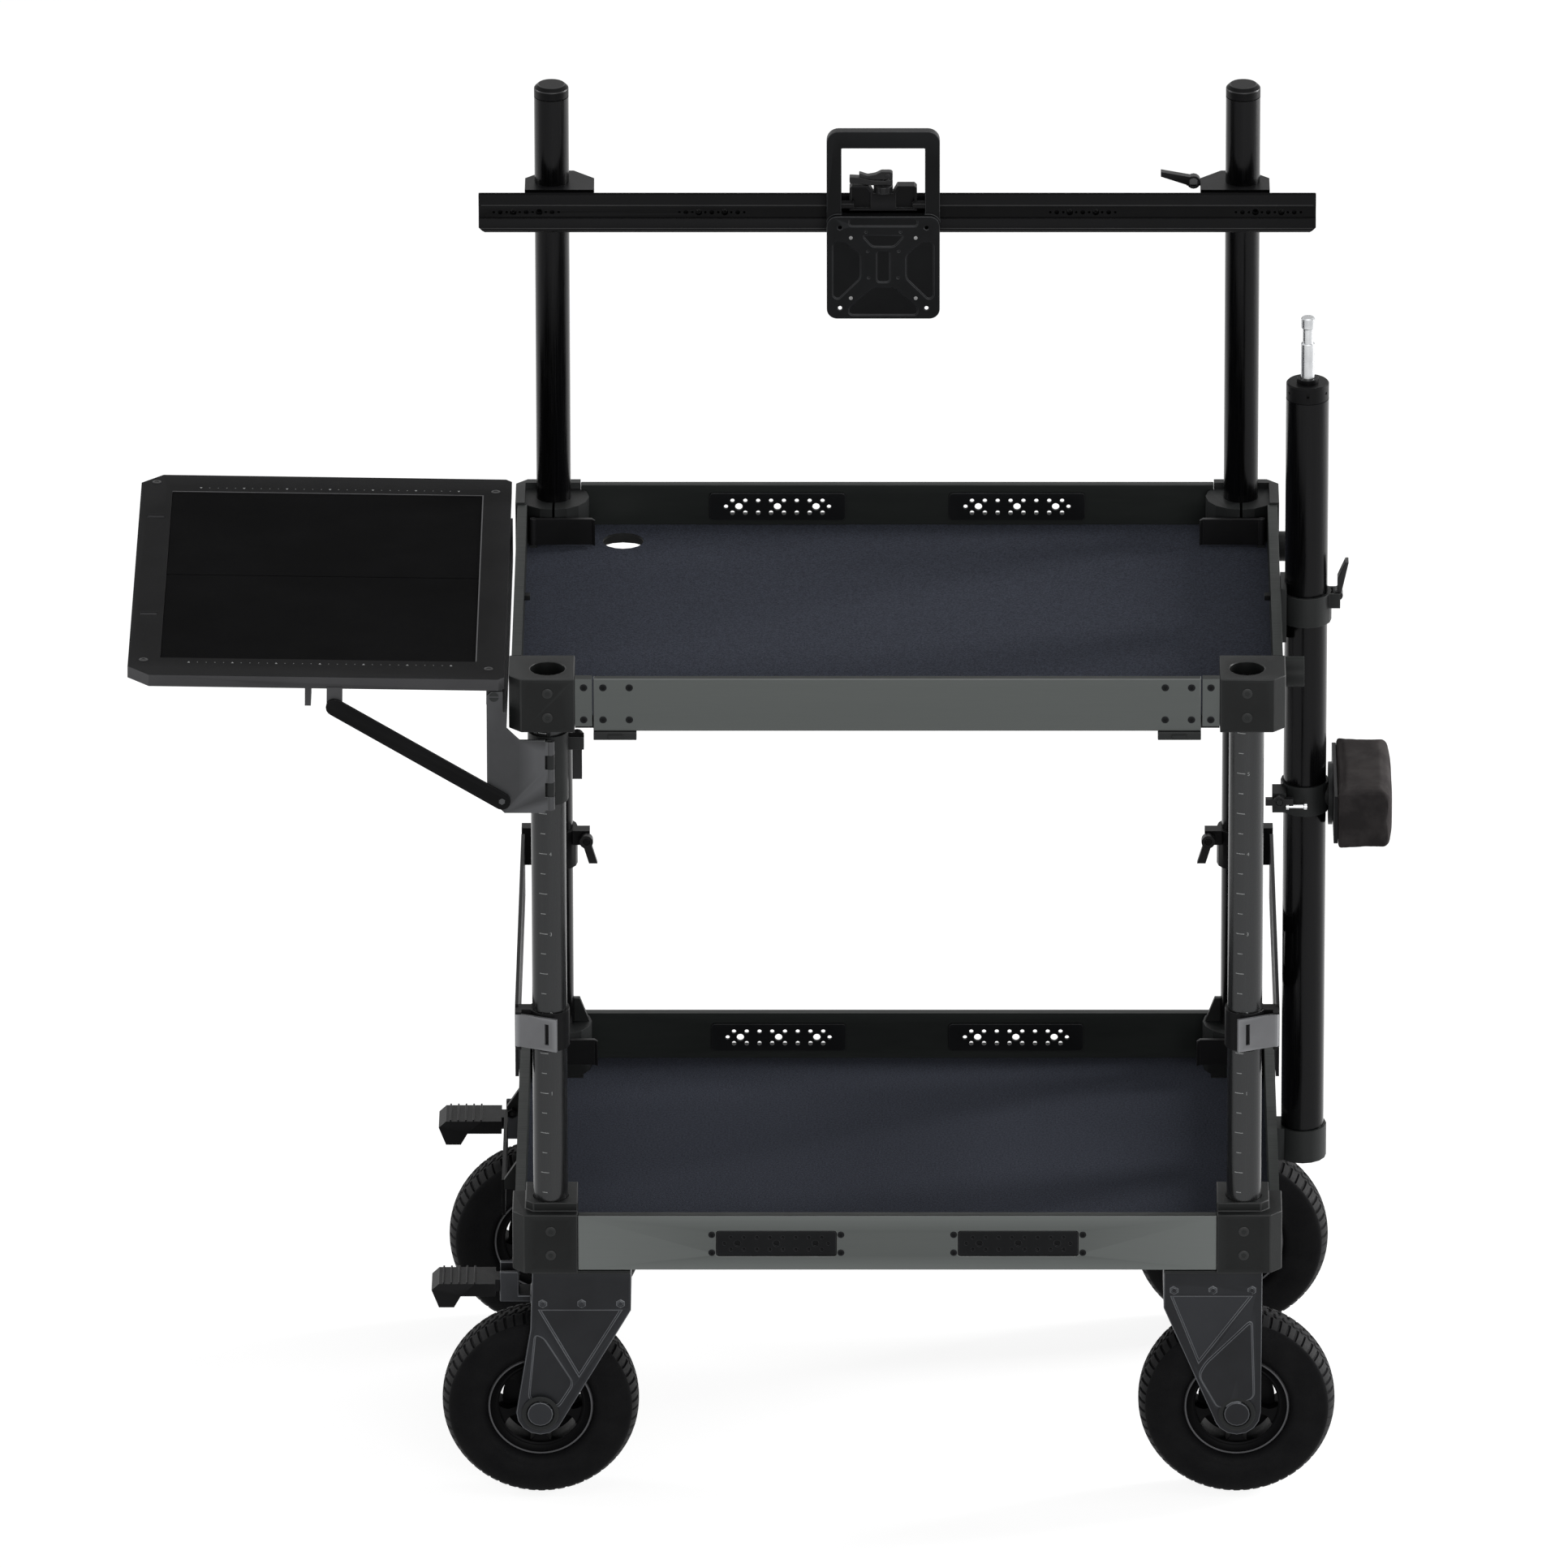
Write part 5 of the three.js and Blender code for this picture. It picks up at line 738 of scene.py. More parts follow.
def make_front_rail():
    node = "lower_front_rail"
    face = -SHELF_HALF_DEPTH
    # The lower front rail takes the lighter copy of anodised: painted light
    rail = rail_bar(node, "lower", face, "anodised_painted_light")
    recess = bmesh.new()
    for sign in (-1, 1):
        outline = plate_outline(sign, FRONT_PLATE_MIDDLE, FRONT_PLATE_HALF + RECESS_GAP,
                                FRONT_PLATE_RISE + RECESS_GAP, 3.5)
        add_prism(recess, "y", outline, face - OVERRUN, face + 4)
    cut_with(rail, recess)
    paint_shade_inside(rail, 1)
    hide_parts(node)
    for side, sign in SIDES.items():
        outline = plate_outline(sign, FRONT_PLATE_MIDDLE, FRONT_PLATE_HALF, FRONT_PLATE_RISE, 3)
        plate = prism(f"front_plate_{side}", "y", outline, face + 0.8, face + 3.8, "plate", "frame",
                      bevel=0.4)
        cut_pattern(plate, sign * PLATE_X, face, FRONT_PLATE_MIDDLE, 6.4, 2.1, 3.9)
        spots = four(sign * PLATE_X, face, FRONT_PLATE_MIDDLE, *PLATE_SCREWS)
        screws(f"front_plate_screws_{side}", spots, "frame", 4, 0.7, "plate")


# Trays and corner castings

DECKS = {"lower": 315.7, "upper": 995}
CASTING_MIDDLES = {"lower": 338.55, "upper": 1012.1}
CASTING_FACE = 299
CASTING_SCREW_RISE = 15
TRAY_HALF = 441.8
TRAY_FRONT = -274.5
DECK_BAND = 0.5
WALL_BAND = 0.8
WALL_RISE = 20
DECK_THICK = 10
GATE_HALF = 347.4
GATE_THICK = 10
STUB_BACK = -286
HINGE_FROM = 298
GATE_SCREWS_X = (336.4, 306.3)
STUB_SCREWS_X = (358.5,)
GATE_SCREWS_Z = (993.9, 1033.6)


def make_tray(level):
    """The deck is carpet and the side rails are anodised outside; their inner faces and tops get a
    darker paint, a painted shade.
    """
    deck = at(0, 0, DECKS[level]).z
    wall = (TRAY_HALF - RAIL_THICK) * MM
    front = TRAY_FRONT * MM

    def pick(centre, normal):
        if normal.z > FACING and abs(centre.z - deck) < DECK_BAND * MM and abs(centre.x) < wall:
            return 0
        # Inner wall faces and tops take the darker paint: painted shade
        inward = normal.x * centre.x < 0 and abs(normal.x) > FACING
        if inward and abs(abs(centre.x) - wall) < WALL_BAND * MM:
            return 3
        if normal.z > FACING and centre.z > deck + WALL_RISE * MM:
            return 3
        if wall - WALL_BAND * MM < abs(centre.x) < (TRAY_HALF + 0.2) * MM:
            return 1
        return 1 if centre.y < front and centre.z > deck - DECK_THICK * MM else 2

    return skin(level + "_tray", ["carpet", "anodised", "casting", "painted_shade"], pick=pick)


def thin_stubs(tray):
    """The stubs beside the gate are as thin as the gate where they stand over the deck."""
    backs = bmesh.new()
    for sign in (-1, 1):
        low, high = sorted((sign * (GATE_HALF - 3), sign * (RAIL_HALF + 3)))
        add_box(backs, at(low, STUB_BACK, DECKS["upper"] + 0.6),
                at(high, STUB_BACK + 16, DECKS["upper"] + 60))
    cut_with(tray, backs)
    # The cut backs of the stubs take the darker paint: painted shade
    back = at(0, STUB_BACK, 0).y
    paint_faces(tray, "painted_shade", lambda centre, normal: (
        abs(centre.y - back) < MM and normal.y > FACING))


def make_shelves():
    make_tray("lower")
    thin_stubs(make_tray("upper"))
    make_front_rail()
    make_gate()
    for level, middle in CASTING_MIDDLES.items():
        make_back_rail(level)
        for end, way in ENDS.items():
            for side, sign in SIDES.items():
                skin(f"{level}_corner_{end}_{side}", bevel=1.1, clamped=end == "back")
                spots = [(sign * POST_X, way * CASTING_FACE, middle + step * CASTING_SCREW_RISE)
                         for step in (-1, 1)]
                screws(f"{level}_corner_screws_{end}_{side}", spots, "frame", 6, 0.9,
                       "castingedge", way)


def make_gate():
    low, high = RAIL_HEIGHTS["upper"]
    face = -SHELF_HALF_DEPTH
    panel = prism("front_gate_panel", "y", rectangle(-GATE_HALF, GATE_HALF, low, high), face,
                  face + GATE_THICK, "anodised", "gate", bevel=1.2)
    paint_shade_inside(panel, 1)
    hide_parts("front_gate")
    for side, sign in SIDES.items():
        leaf = rectangle(sign * HINGE_FROM - 0.1, sign * GATE_HALF, low - 10, low - 0.2)
        prism("gate_hinge_leaf_" + side, "y", leaf, face - 3, face + 7, "casting", "gate",
              bevel=0.8)
        for name, body, places in (("gate", "gate", GATE_SCREWS_X),
                                   ("stub", "frame", STUB_SCREWS_X)):
            spots = [(sign * x, face, z) for x in places for z in GATE_SCREWS_Z]
            screws(f"{name}_screws_{side}", spots, body, 4.3, 0.6, "plate")


make_posts()
make_shelves()


# Casters: wheels with treaded tyres, spoked rims and ribbed forks

WHEEL_RADIUS = 114
KINGPIN_X = 365
KINGPIN_Y = 232
TRAILS = {"left": 48.6, "right": 28.5}
FORK_FACE = 46
FORK_POCKET_DEPTH = 3
TREAD_STEPS = 480
TREAD_ANGLE = math.radians(40)
TREAD_PITCHES = 60
CROWN_HALF = 28.4
CROWN_DROP = 7.6
CROWN_POWER = 2.6
CROWN_STEPS = 26
TREAD_TOP = 0.4
ZIGZAG_PLACE = 8.5
ZIGZAG_SWING = 2.2
ZIGZAG_HALF = 1.1
MIDDLE_HALF = 7.5
SLOTS_FROM, SLOTS_TO = 11, 27.5
# Share of the pitch that a groove takes and its depth
SHOULDER_SLOT = (0.17, 1.8)
MIDDLE_SLOT = (0.13, 1.2)
ZIGZAG_DEPTH = 1.6
RIM_RADIUS = 61.5
LIP_DEPTH = 3.2
LIP_PLACE = 26
SPOKES = 5
SPOKE_RING = 48.5
SPOKE_DEPTH = 19
WEB_RADIUS = 44.4


def crown_radius(width):
    return WHEEL_RADIUS - CROWN_DROP * (width / CROWN_HALF) ** CROWN_POWER


def tread_depth(angle, width):
    """Depth of the grooves: zigzag rings, and slots across the shoulders."""
    turn = angle / (2 * math.pi) * TREAD_PITCHES
    phase = turn % 1
    zigzag = abs(2 * phase - 1) * 2 - 1
    if abs(width) < MIDDLE_HALF and (phase + 0.25 * math.copysign(1, width)) % 1 < MIDDLE_SLOT[0]:
        return MIDDLE_SLOT[1]
    if SLOTS_FROM < abs(width) < SLOTS_TO and (phase + 0.5) % 1 < SHOULDER_SLOT[0]:
        return SHOULDER_SLOT[1]
    on_ring = abs(abs(width) - (ZIGZAG_PLACE + ZIGZAG_SWING * zigzag)) < ZIGZAG_HALF
    return ZIGZAG_DEPTH if on_ring else 0


def wheel_mesh(name, bm, paints, sharp, second):
    """A wheel's mesh; the faces whose radius and place pass a test have its second paint."""
    bmesh.ops.recalc_face_normals(bm, faces=bm.faces)
    mesh = mesh_of(name, bm)
    for paint in paints:
        mesh.materials.append(PAINTS[paint])
    for face in mesh.polygons:
        if second(math.hypot(face.center.x, face.center.z) / MM, abs(face.center.y) / MM):
            face.material_index = 1
    mesh.shade_smooth()
    mesh.set_sharp_from_angle(angle=sharp)
    return mesh


def tyre_mesh():
    """The section runs from the bead over the shoulder and the treaded crown to the other bead."""
    side = [(61.8, 24), (62.5, 27), (66, 30.6), (71, 33.4), (73, 33.2), (76, 34.2), (84, 35),
            (90, 34.8), (96, 33.6), (100.5, 32), (103, 31), (105.5, 29.6)]
    widths = [CROWN_HALF * (1 - step / CROWN_STEPS) for step in range(CROWN_STEPS + 1)]
    rows = [(*place, False) for place in side] + [(crown_radius(w), w, True) for w in widths]
    rows += [(radius, -width, flag) for radius, width, flag in reversed(rows[:-1])]
    rows.append((side[0][0], 0, False))
    rings = []
    bm = bmesh.new()
    for radius, width, treaded in rows:
        ring = []
        for step in range(TREAD_STEPS):
            angle = 2 * math.pi * step / TREAD_STEPS
            reach = (radius - (tread_depth(angle, width) if treaded else 0)) * MM
            place = (reach * math.cos(angle), width * MM, reach * math.sin(angle))
            ring.append(bm.verts.new(place))
        rings.append(ring)
    for near, far in zip(rings, rings[1:] + rings[:1]):
        join_rows(bm, near, far)
    # The tread block tops take the lighter rubber: painted highlight
    return wheel_mesh("tyre_tread", bm, ("rubber", "tread_with_painted_highlight"), TREAD_ANGLE, lambda radius, width: (
        width < CROWN_HALF and radius > crown_radius(width) - TREAD_TOP))


def add_ring(bm, profile, steps=72):
    """Adds a closed turned ring about Y: (radius, place)."""
    turns = [2 * math.pi * i / steps for i in range(steps)]
    rows = [[bm.verts.new((radius * MM * math.cos(a), place * MM, radius * MM * math.sin(a)))
             for a in turns] for radius, place in profile]
    for near, far in zip(rows, rows[1:] + rows[:1]):
        join_rows(bm, near, far)


def rim_mesh():
    bm = bmesh.new()
    half = [(RIM_RADIUS, 25.5), (RIM_RADIUS - 1.2, 27), (RIM_RADIUS - 3, 27),
            (RIM_RADIUS - 4, 25.4), (52, 22.5), (50.4, 23), (SPOKE_RING, 22)]
    barrel = half + [(radius, -place) for radius, place in reversed(half)] + [(RIM_RADIUS, 0)]
    add_ring(bm, barrel)
    hub = [(7.4, 35.6), (15, 35.6), (17, 34), (20, 12), (21, 6), (WEB_RADIUS, 2), (WEB_RADIUS, -2),
           (21, -6), (20, -12), (17, -34), (15, -35.6), (7.4, -35.6)]
    add_ring(bm, hub, 48)
    half = [(18, 7), (23, 4), (38, 3.6), (43, 6.5), (SPOKE_RING + 0.4, 15)]
    outline = half + [(radius, -width) for radius, width in reversed(half)]
    for index in range(SPOKES):
        angle = 2 * math.pi * (index / SPOKES - 0.25)
        spoke = bmesh.new()
        add_slab(spoke, *[[(r * MM, y * MM, w * MM) for r, w in outline]
                          for y in (-SPOKE_DEPTH, SPOKE_DEPTH)])
        bmesh.ops.bevel(spoke, geom=spoke.edges[:], offset=0.8 * MM, segments=2, affect="EDGES")
        bmesh.ops.rotate(spoke, matrix=Matrix.Rotation(-angle, 3, "Y"), verts=spoke.verts)
        merge(bm, spoke)
    return wheel_mesh("rim_spoked", bm, ("rim", "rimlip"), SMOOTH_ANGLE, lambda radius, width: (
        radius > RIM_RADIUS - LIP_DEPTH and width > LIP_PLACE))


FORK_POCKETS = {
    "left": [(419.1, 212.7), (409.1, 208.4), (374.9, 151.1), (393.7, 119.9), (426.8, 130.6)],
    "right": [(410.1, 232.6), (413.2, 133.1), (371.8, 119.9), (348.9, 162.1), (356.4, 177.3)],
}


def boss_ring(name, x, y, direction, body):
    """Raised ring round the axle end with a hexagon bolt in it."""
    profile = [(14.5, 0), (21, 0), (21.5, 1.8), (20, 3), (16.5, 3), (15.5, 1.8)]
    bm = bmesh.new()
    add_ring(bm, profile, 48)
    bolt = []
    for place, size in ((-1, 11), (1.6, 11), (2.6, 10)):
        bolt.append([bm.verts.new((size * u * MM, place * MM, size * v * MM))
                     for u, v in hexagon(24)])
    for near, far in zip(bolt, bolt[1:]):
        join_rows(bm, near, far)
    bm.faces.new(bolt[-1])
    for vertex in bm.verts:
        vertex.co.y *= direction
    bmesh.ops.translate(bm, vec=at(x, y, WHEEL_RADIUS), verts=bm.verts)
    return piece_from(name, bm, "casting", body)


def make_casters():
    tread_with_painted_highlight, spoked = tyre_mesh(), rim_mesh()
    for end, way in ENDS.items():
        for side, sign in SIDES.items():
            mark = f"{end}_{side}"
            axle = sign * (KINGPIN_X + TRAILS[side])
            for kind, mesh, slot in (("tyre", tread_with_painted_highlight, "rubber"), ("wheel_rim", spoked, "rim")):
                piece = placed(f"{kind}_{mark}_wheel", mesh)
                piece.location = at(axle, way * KINGPIN_Y, WHEEL_RADIUS)
                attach(piece, "wheel_" + mark)
                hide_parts(f"{kind}_{mark}")
            fork = skin("caster_fork_" + mark, "forged", bevel=1.3, clamped=False)
            pockets = bmesh.new()
            shape = softened([(sign * x, z) for x, z in FORK_POCKETS[side]], 8)
            for face in (-1, 1):
                edges = [way * KINGPIN_Y + face * (FORK_FACE + step * FORK_POCKET_DEPTH)
                         for step in (-1, 1)]
                add_prism(pockets, "y", shape, *sorted(edges))
            cut_with(fork, pockets)
            for place, face in ENDS.items():
                y = way * KINGPIN_Y + face * (FORK_FACE + 0.2)
                boss_ring(f"axle_boss_{mark}_{place}", axle, y, face, "caster_" + mark)


# Monitor crossbar, carriage and head

BAR_FACE = 205
HEAD_X = -16.2
VESA_Z = 1360
PLATE_FACE = 178
SIDE_POCKET = [(-58.5, -35.2), (-58.5, 28.4), (-54.8, 32.4), (-45, 32.4), (-26.3, 15.3),
               (-26.3, -13.2), (-51, -38.5), (-54.8, -38.5)]
HEAD_POCKETS = [
    [(-39.6, 51.5), (39.6, 51.5), (39.6, 60.9), (-39.6, 60.9)],
    [(-22.5, 40.6), (22.5, 40.6), (22.5, 37.5), (13, 26), (-13, 26), (-22.5, 37.5)],
    [(-7.6, 21), (7.6, 21), (7.6, -18), (-7.6, -18)],
    SIDE_POCKET,
    [(-x, z) for x, z in SIDE_POCKET],
    [(-12.8, -24.6), (12.8, -24.6), (39.8, -49.9), (39.8, -56.4), (36.8, -58.8), (-36.8, -58.8),
     (-39.8, -56.4), (-39.8, -49.9)],
]
HEAD_DOTS = [(sign * x, z) for x, z in ((20, 45), (18, 21), (17, -12)) for sign in (-1, 1)]
VESA_SMALL, VESA_LARGE = 37.5, 50
BAR_BACK = 235
BAR_TOP = 1442.5
BAR_HALF = 484
HOLE_Z = 1417.5
HOLE_PITCH = 7.5
HOLE_RADII = (1.5, 2.7, 1.5, 3.9)
HOLE_STARTS = (-466.5, -251.9)
HIGHLIGHT_LINE_PLACES = (1427.2, 1398.5)
CLAMP_LEVEL = 1434.6
CLAMP_DEPTH = 65
BAR_DROP = 13
HOLES_IN_ROW = 11
HOLE_DEPTH = 16
HIGHLIGHT_LINE_HALF = 0.5


def make_crossbar():
    """The bar's top falls away behind its front edge, and the clamps stand a little above it."""
    bar = skin("crossbar", "black", bevel=0.8)
    behind = bmesh.new()
    lip, back, far, above = BAR_FACE + 1, BAR_BACK + 0.3, BAR_BACK + CLAMP_DEPTH, BAR_TOP + 30
    shape = [(lip, BAR_TOP + 0.1), (back, BAR_TOP - BAR_DROP), (back, CLAMP_LEVEL),
             (far, CLAMP_LEVEL), (far, above), (lip, above)]
    add_prism(behind, "x", shape, -BAR_HALF - 2 * OVERRUN, BAR_HALF + 2 * OVERRUN)
    cut_with(bar, behind)
    # The faces along the bar's top edge take the very dark rim paint: painted shade
    edge = at(0, 0, BAR_TOP - 4).z
    shadowed = at(0, BAR_BACK, 0).y
    paint_faces(bar, "rim", lambda centre, normal: (
        normal.z > 0.3 and centre.z > edge and centre.y < shadowed))
    holes = bmesh.new()
    for start in HOLE_STARTS:
        for step in range(HOLES_IN_ROW):
            x = start + step * HOLE_PITCH
            places = [(x, BAR_FACE, HOLE_Z), (-x, BAR_FACE, HOLE_Z)]
            merge(holes, rods("y", places, HOLE_RADII[step % 4], HOLE_DEPTH, 16))
    cut_with(bar, holes, rounded=False)
    # The walls of the holes take the very dark rim paint: painted shade
    mouth, foot = at(0, BAR_FACE + 3.2, HOLE_Z - 5), at(0, BAR_FACE + 9, HOLE_Z + 5)
    paint_faces(bar, "rim", lambda centre, normal: (
        mouth.y < centre.y < foot.y and mouth.z < centre.z < foot.z))
    # Thin strips of lighter paint along the bar's grooves: painted highlights
    highlight_lines = bmesh.new()
    for z in HIGHLIGHT_LINE_PLACES:
        add_box(highlight_lines, at(-BAR_HALF + 3, BAR_FACE - 0.15, z - HIGHLIGHT_LINE_HALF),
                at(BAR_HALF - 3, BAR_FACE + 0.4, z + HIGHLIGHT_LINE_HALF))
    piece_from("crossbar_highlight_lines", highlight_lines, "blackedge", "bar", "black")


CAM_PLACE = (HEAD_X, 197)
CAM_FOOT = 1456.6
FLUTES = 8
FLUTES_AT = 11.4


def make_cam_lever():
    """Two-bladed cam lever on a fluted nut, turning about the carriage's upright pin."""
    x, y = CAM_PLACE
    bm = bmesh.new()
    lower = [(9, 0.4), (11, 3), (11, 8), (4, 6), (-12, 6.4), (-27, 10), (-38.4, 10.6), (-39, 9.8),
             (-39, 4), (-37.6, 2.4), (-27, 2.2), (-14, 0.4)]
    add_prism(bm, "y", softened([(x + u, CAM_FOOT + v) for u, v in lower], 1.6), y - 5, y + 5)
    upper = [(11, 9), (11, 15.6), (8, 17), (-2, 17), (-9, 13.4), (-18, 11.8), (-27, 15),
             (-28, 14.4), (-26.6, 9.6), (-14, 7.4), (2, 7)]
    add_prism(bm, "y", softened([(x + u, CAM_FOOT + v) for u, v in upper], 1.4), y - 4.2, y + 4.2)
    for v in (5, 12):
        add_rod(bm, "y", (x + 5, y, CAM_FOOT + v), 2.6, 10.8, 20)
    lever = piece_from("carriage_lever_blades", bm, "lever", "cam", "lever", 0.9)
    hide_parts("carriage_lever")
    flutes = ring_profile(scaled([(9.8, -9.2), (10.8, -9.2), (11.2, -8.6), (11.2, -1), (10.6, -0.3),
                                  (9.8, -0.3), (9.8, -9.2)]), "z", at(x, y, CAM_FOOT), 48)
    nut = piece_from("carriage_nut", flutes, "lever", "carriage", "lever", 0.4)
    slots = bmesh.new()
    for step in range(FLUTES):
        angle = 2 * math.pi * (step + 0.5) / FLUTES
        spot = (x + FLUTES_AT * math.cos(angle), y + FLUTES_AT * math.sin(angle), CAM_FOOT - 4)
        add_rod(slots, "z", spot, 1.3, 6, 12)
    cut_with(nut, slots)


def make_head():
    skin("monitor_carriage", "black", bevel=1.2)
    make_cam_lever()
    head = skin("monitor_head", "plate", bevel=0.9, clamped=False)
    bm = bmesh.new()
    for outline in HEAD_POCKETS:
        shape = softened([(HEAD_X + x, VESA_Z + z) for x, z in outline], 4.5)
        add_prism(bm, "y", shape, PLATE_FACE - 5, PLATE_FACE + 1.8)
    for x, z in HEAD_DOTS:
        add_rod(bm, "y", (HEAD_X + x, PLATE_FACE, VESA_Z + z), 1.2, 4, 12)
    for side in (-1, 1):
        spot = (HEAD_X + side * VESA_LARGE, PLATE_FACE + 10.5, VESA_Z - VESA_LARGE)
        add_rod(bm, "y", spot, 8, 16, 32)
    cut_with(head, bm)
    spots = four(HEAD_X, PLATE_FACE, VESA_Z, VESA_SMALL, VESA_SMALL)
    screws("head_screws", spots, "head", 2.3, 0.7, "steelscrew")


# Tablet shelf

FOLD_X = 460.8
FOLD_Z = 1022
BOARD_SLOPE = math.radians(0.87)
BOARD_TOP = 23.5
BOARD_SCALE_AT = 262
BOARD_TICKS = 31
BOARD_TICKS_FROM = 50
BOARD_TICK_PITCH = 10
WIDE_TICK = 1.6
SMALL_TICK = 0.6
TICK_TIP = 0.3
BOARD_SCREWS = [(402, 278), (402, -257), (7, 262), (7, -270)]


def on_board(out, y, rise):
    """A place on the board: how far out from its fold axis, how deep and how far above the axis."""
    x = -FOLD_X - out * math.cos(BOARD_SLOPE) + rise * math.sin(BOARD_SLOPE)
    z = FOLD_Z + out * math.sin(BOARD_SLOPE) + rise * math.cos(BOARD_SLOPE)
    return at(x, y, z)


def board_piece(name, outline, low, high, paint, slot="board", bevel=0.4):
    bm = bmesh.new()
    add_slab(bm, *[[on_board(u, v, rise) for u, v in outline] for rise in (low, high)])
    return piece_from(name, bm, paint, "board", slot, bevel)


def make_tablet():
    skin("swing_bracket", "bracket", bevel=0.5)
    # The board's sides take the lighter board paint: painted highlight
    skin("tablet_board", ["board", "board_painted_highlight"], bevel=1.2,
         pick=lambda centre, normal: 1 if abs(normal.z) < 0.3 else 0)
    for name, v0, v1 in (("mat_front", -249.2, -0.4), ("mat_back", 0.4, 249.2)):
        outline = rectangle(22.6, 382.8, v0, v1, 2.5)
        board_piece(name, outline, BOARD_TOP - 2, BOARD_TOP - 0.7, "mat")
    # Raised strips of the lighter board paint along the mat's back and side: painted highlight
    for name, outline in (("mat_edge_back", rectangle(22, 383, 249.5, 250.9)),
                          ("mat_edge_side", rectangle(20.9, 22.3, -249, 250.9))):
        board_piece(name, outline, BOARD_TOP - 0.5, BOARD_TOP + 0.15, "board_painted_highlight", "board", 0)
    bm = bmesh.new()
    for way in (1, -1):
        v = way * BOARD_SCALE_AT
        for step in range(BOARD_TICKS):
            u = BOARD_TICKS_FROM + step * BOARD_TICK_PITCH
            half = WIDE_TICK if step % 5 == 0 else SMALL_TICK
            corners = [(u - half, v + way * half), (u + half, v + way * half),
                       (u + TICK_TIP, v - way * half), (u - TICK_TIP, v - way * half)]
            bm.faces.new([bm.verts.new(on_board(a, b, BOARD_TOP + 0.06)) for a, b in corners])
    piece_from("board_scale", bm, "ink", "board", "board")
    bm = bmesh.new()
    for u, v in BOARD_SCREWS:
        head = screw_head(5.2 * MM, 0.5 * MM)
        bmesh.ops.translate(head, vec=on_board(u, v, BOARD_TOP), verts=head.verts)
        merge(bm, head)
    piece_from("board_screws", bm, "lever", "board", "lever")
    for name, v in (("strap_back", 174), ("strap_front", -119)):
        outline = rectangle(390, 419, v - 3.4, v + 3.4, 1.5)
        board_piece(name, outline, BOARD_TOP - 6, BOARD_TOP - 0.4, "webbing", "board", 1)
    slotted("bracket_screws", [(-460.9, -302.1, 1024.1), (-452.6, -302.1, 897.3)], "bracket")


def slotted(name, places, body):
    """Flat screw heads with a straight slot."""
    piece = piece_from(name, rods("y", places, 5.6, 1, 32), "casting", body)
    slots = bmesh.new()
    for x, y, z in places:
        add_box(slots, at(x - 7, y - 3, z - 0.9), at(x + 7, y + 0.2, z + 0.9))
    return cut_with(piece, slots)


# Mast and body pad

MAST_X = 472
MAST_CAP_RADIUS = 24.6
MAST_HOLES_Z = 1281


def make_mast():
    place = at(MAST_X, 0, 0)
    tube = [(20, 326), (24.7, 326), (24.7, 1271), (20, 1271), (20, 326)]
    piece = turned("mast_tube_body", tube, "z", place, "gunblack", "mast", "black")
    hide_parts("mast_tube")
    cap = [(8.4, 1271.2), (24.2, 1271.2), (24.6, 1272), (24.6, 1289.4), (23.2, 1291), (12.5, 1291),
           (12.5, 1295.2), (11.7, 1296), (8.4, 1296), (8.4, 1271.2)]
    top = turned("mast_cap", cap, "z", place, "black", "mast")
    holes = bmesh.new()
    for angle in range(-150, 180, 60):
        u, v = math.cos(math.radians(angle)), math.sin(math.radians(angle))
        spot = (MAST_X + MAST_CAP_RADIUS * u, MAST_CAP_RADIUS * v, MAST_HOLES_Z)
        add_rod(holes, "y" if abs(v) > 0.7 else "x", spot, 1.7, 5, 14)
    cut_with(top, holes)
    pin = [(0, 1281.3), (8, 1281.3), (8, 1338), (7, 1339), (6.25, 1339), (6.25, 1356.6),
           (8, 1358.1), (8, 1369.2), (6.5, 1370.7), (0, 1370.7)]
    piece = turned("mast_spigot_pin", pin, "z", place, "steel", "mast", steps=64)
    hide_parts("mast_spigot")
    bolt = [(0, 0), (4.5, 0), (4.5, 3), (2.6, 3.6), (2.6, 20), (4.2, 20.8), (4.2, 24), (0, 24)]
    turned("pad_bolt", bolt, "x", at(450, -41, 777), "steel", "pad_clamp", steps=24)


PAD_BACK = 5
PAD_RADIUS = (3, 8)
PAD_CROWN = 2.6
PAD_CUTS = 31
PAD_MOVE = 1.2
PAD_PRESSURE = 4
PAD_FRAMES = 12
PAD_MARGIN_Y, PAD_MARGIN_Z = 6 * MM, 5.5 * MM


def rounded_block(low, high, radii):
    """A closed grid with soft edges, whose radius grows along X from one value to the other."""
    bm = bmesh.new()
    add_box(bm, low, high)
    bmesh.ops.subdivide_edges(bm, edges=bm.edges[:], cuts=PAD_CUTS, use_grid_fill=True)
    size = high - low
    for vertex in bm.verts:
        share = [(vertex.co[axis] - low[axis]) / size[axis] for axis in range(3)]
        place = Vector([low[axis] + size[axis] * (0.5 - 0.5 * math.cos(math.pi * share[axis]))
                        for axis in range(3)])
        along = (place.x - low.x) / size.x
        radius = radii[0] + (radii[1] - radii[0]) * along
        core = Vector([min(max(place[axis], low[axis] + radius), high[axis] - radius)
                       for axis in range(3)])
        out = place - core
        vertex.co = core + out.normalized() * radius if out.length > 0 else place
    return bm


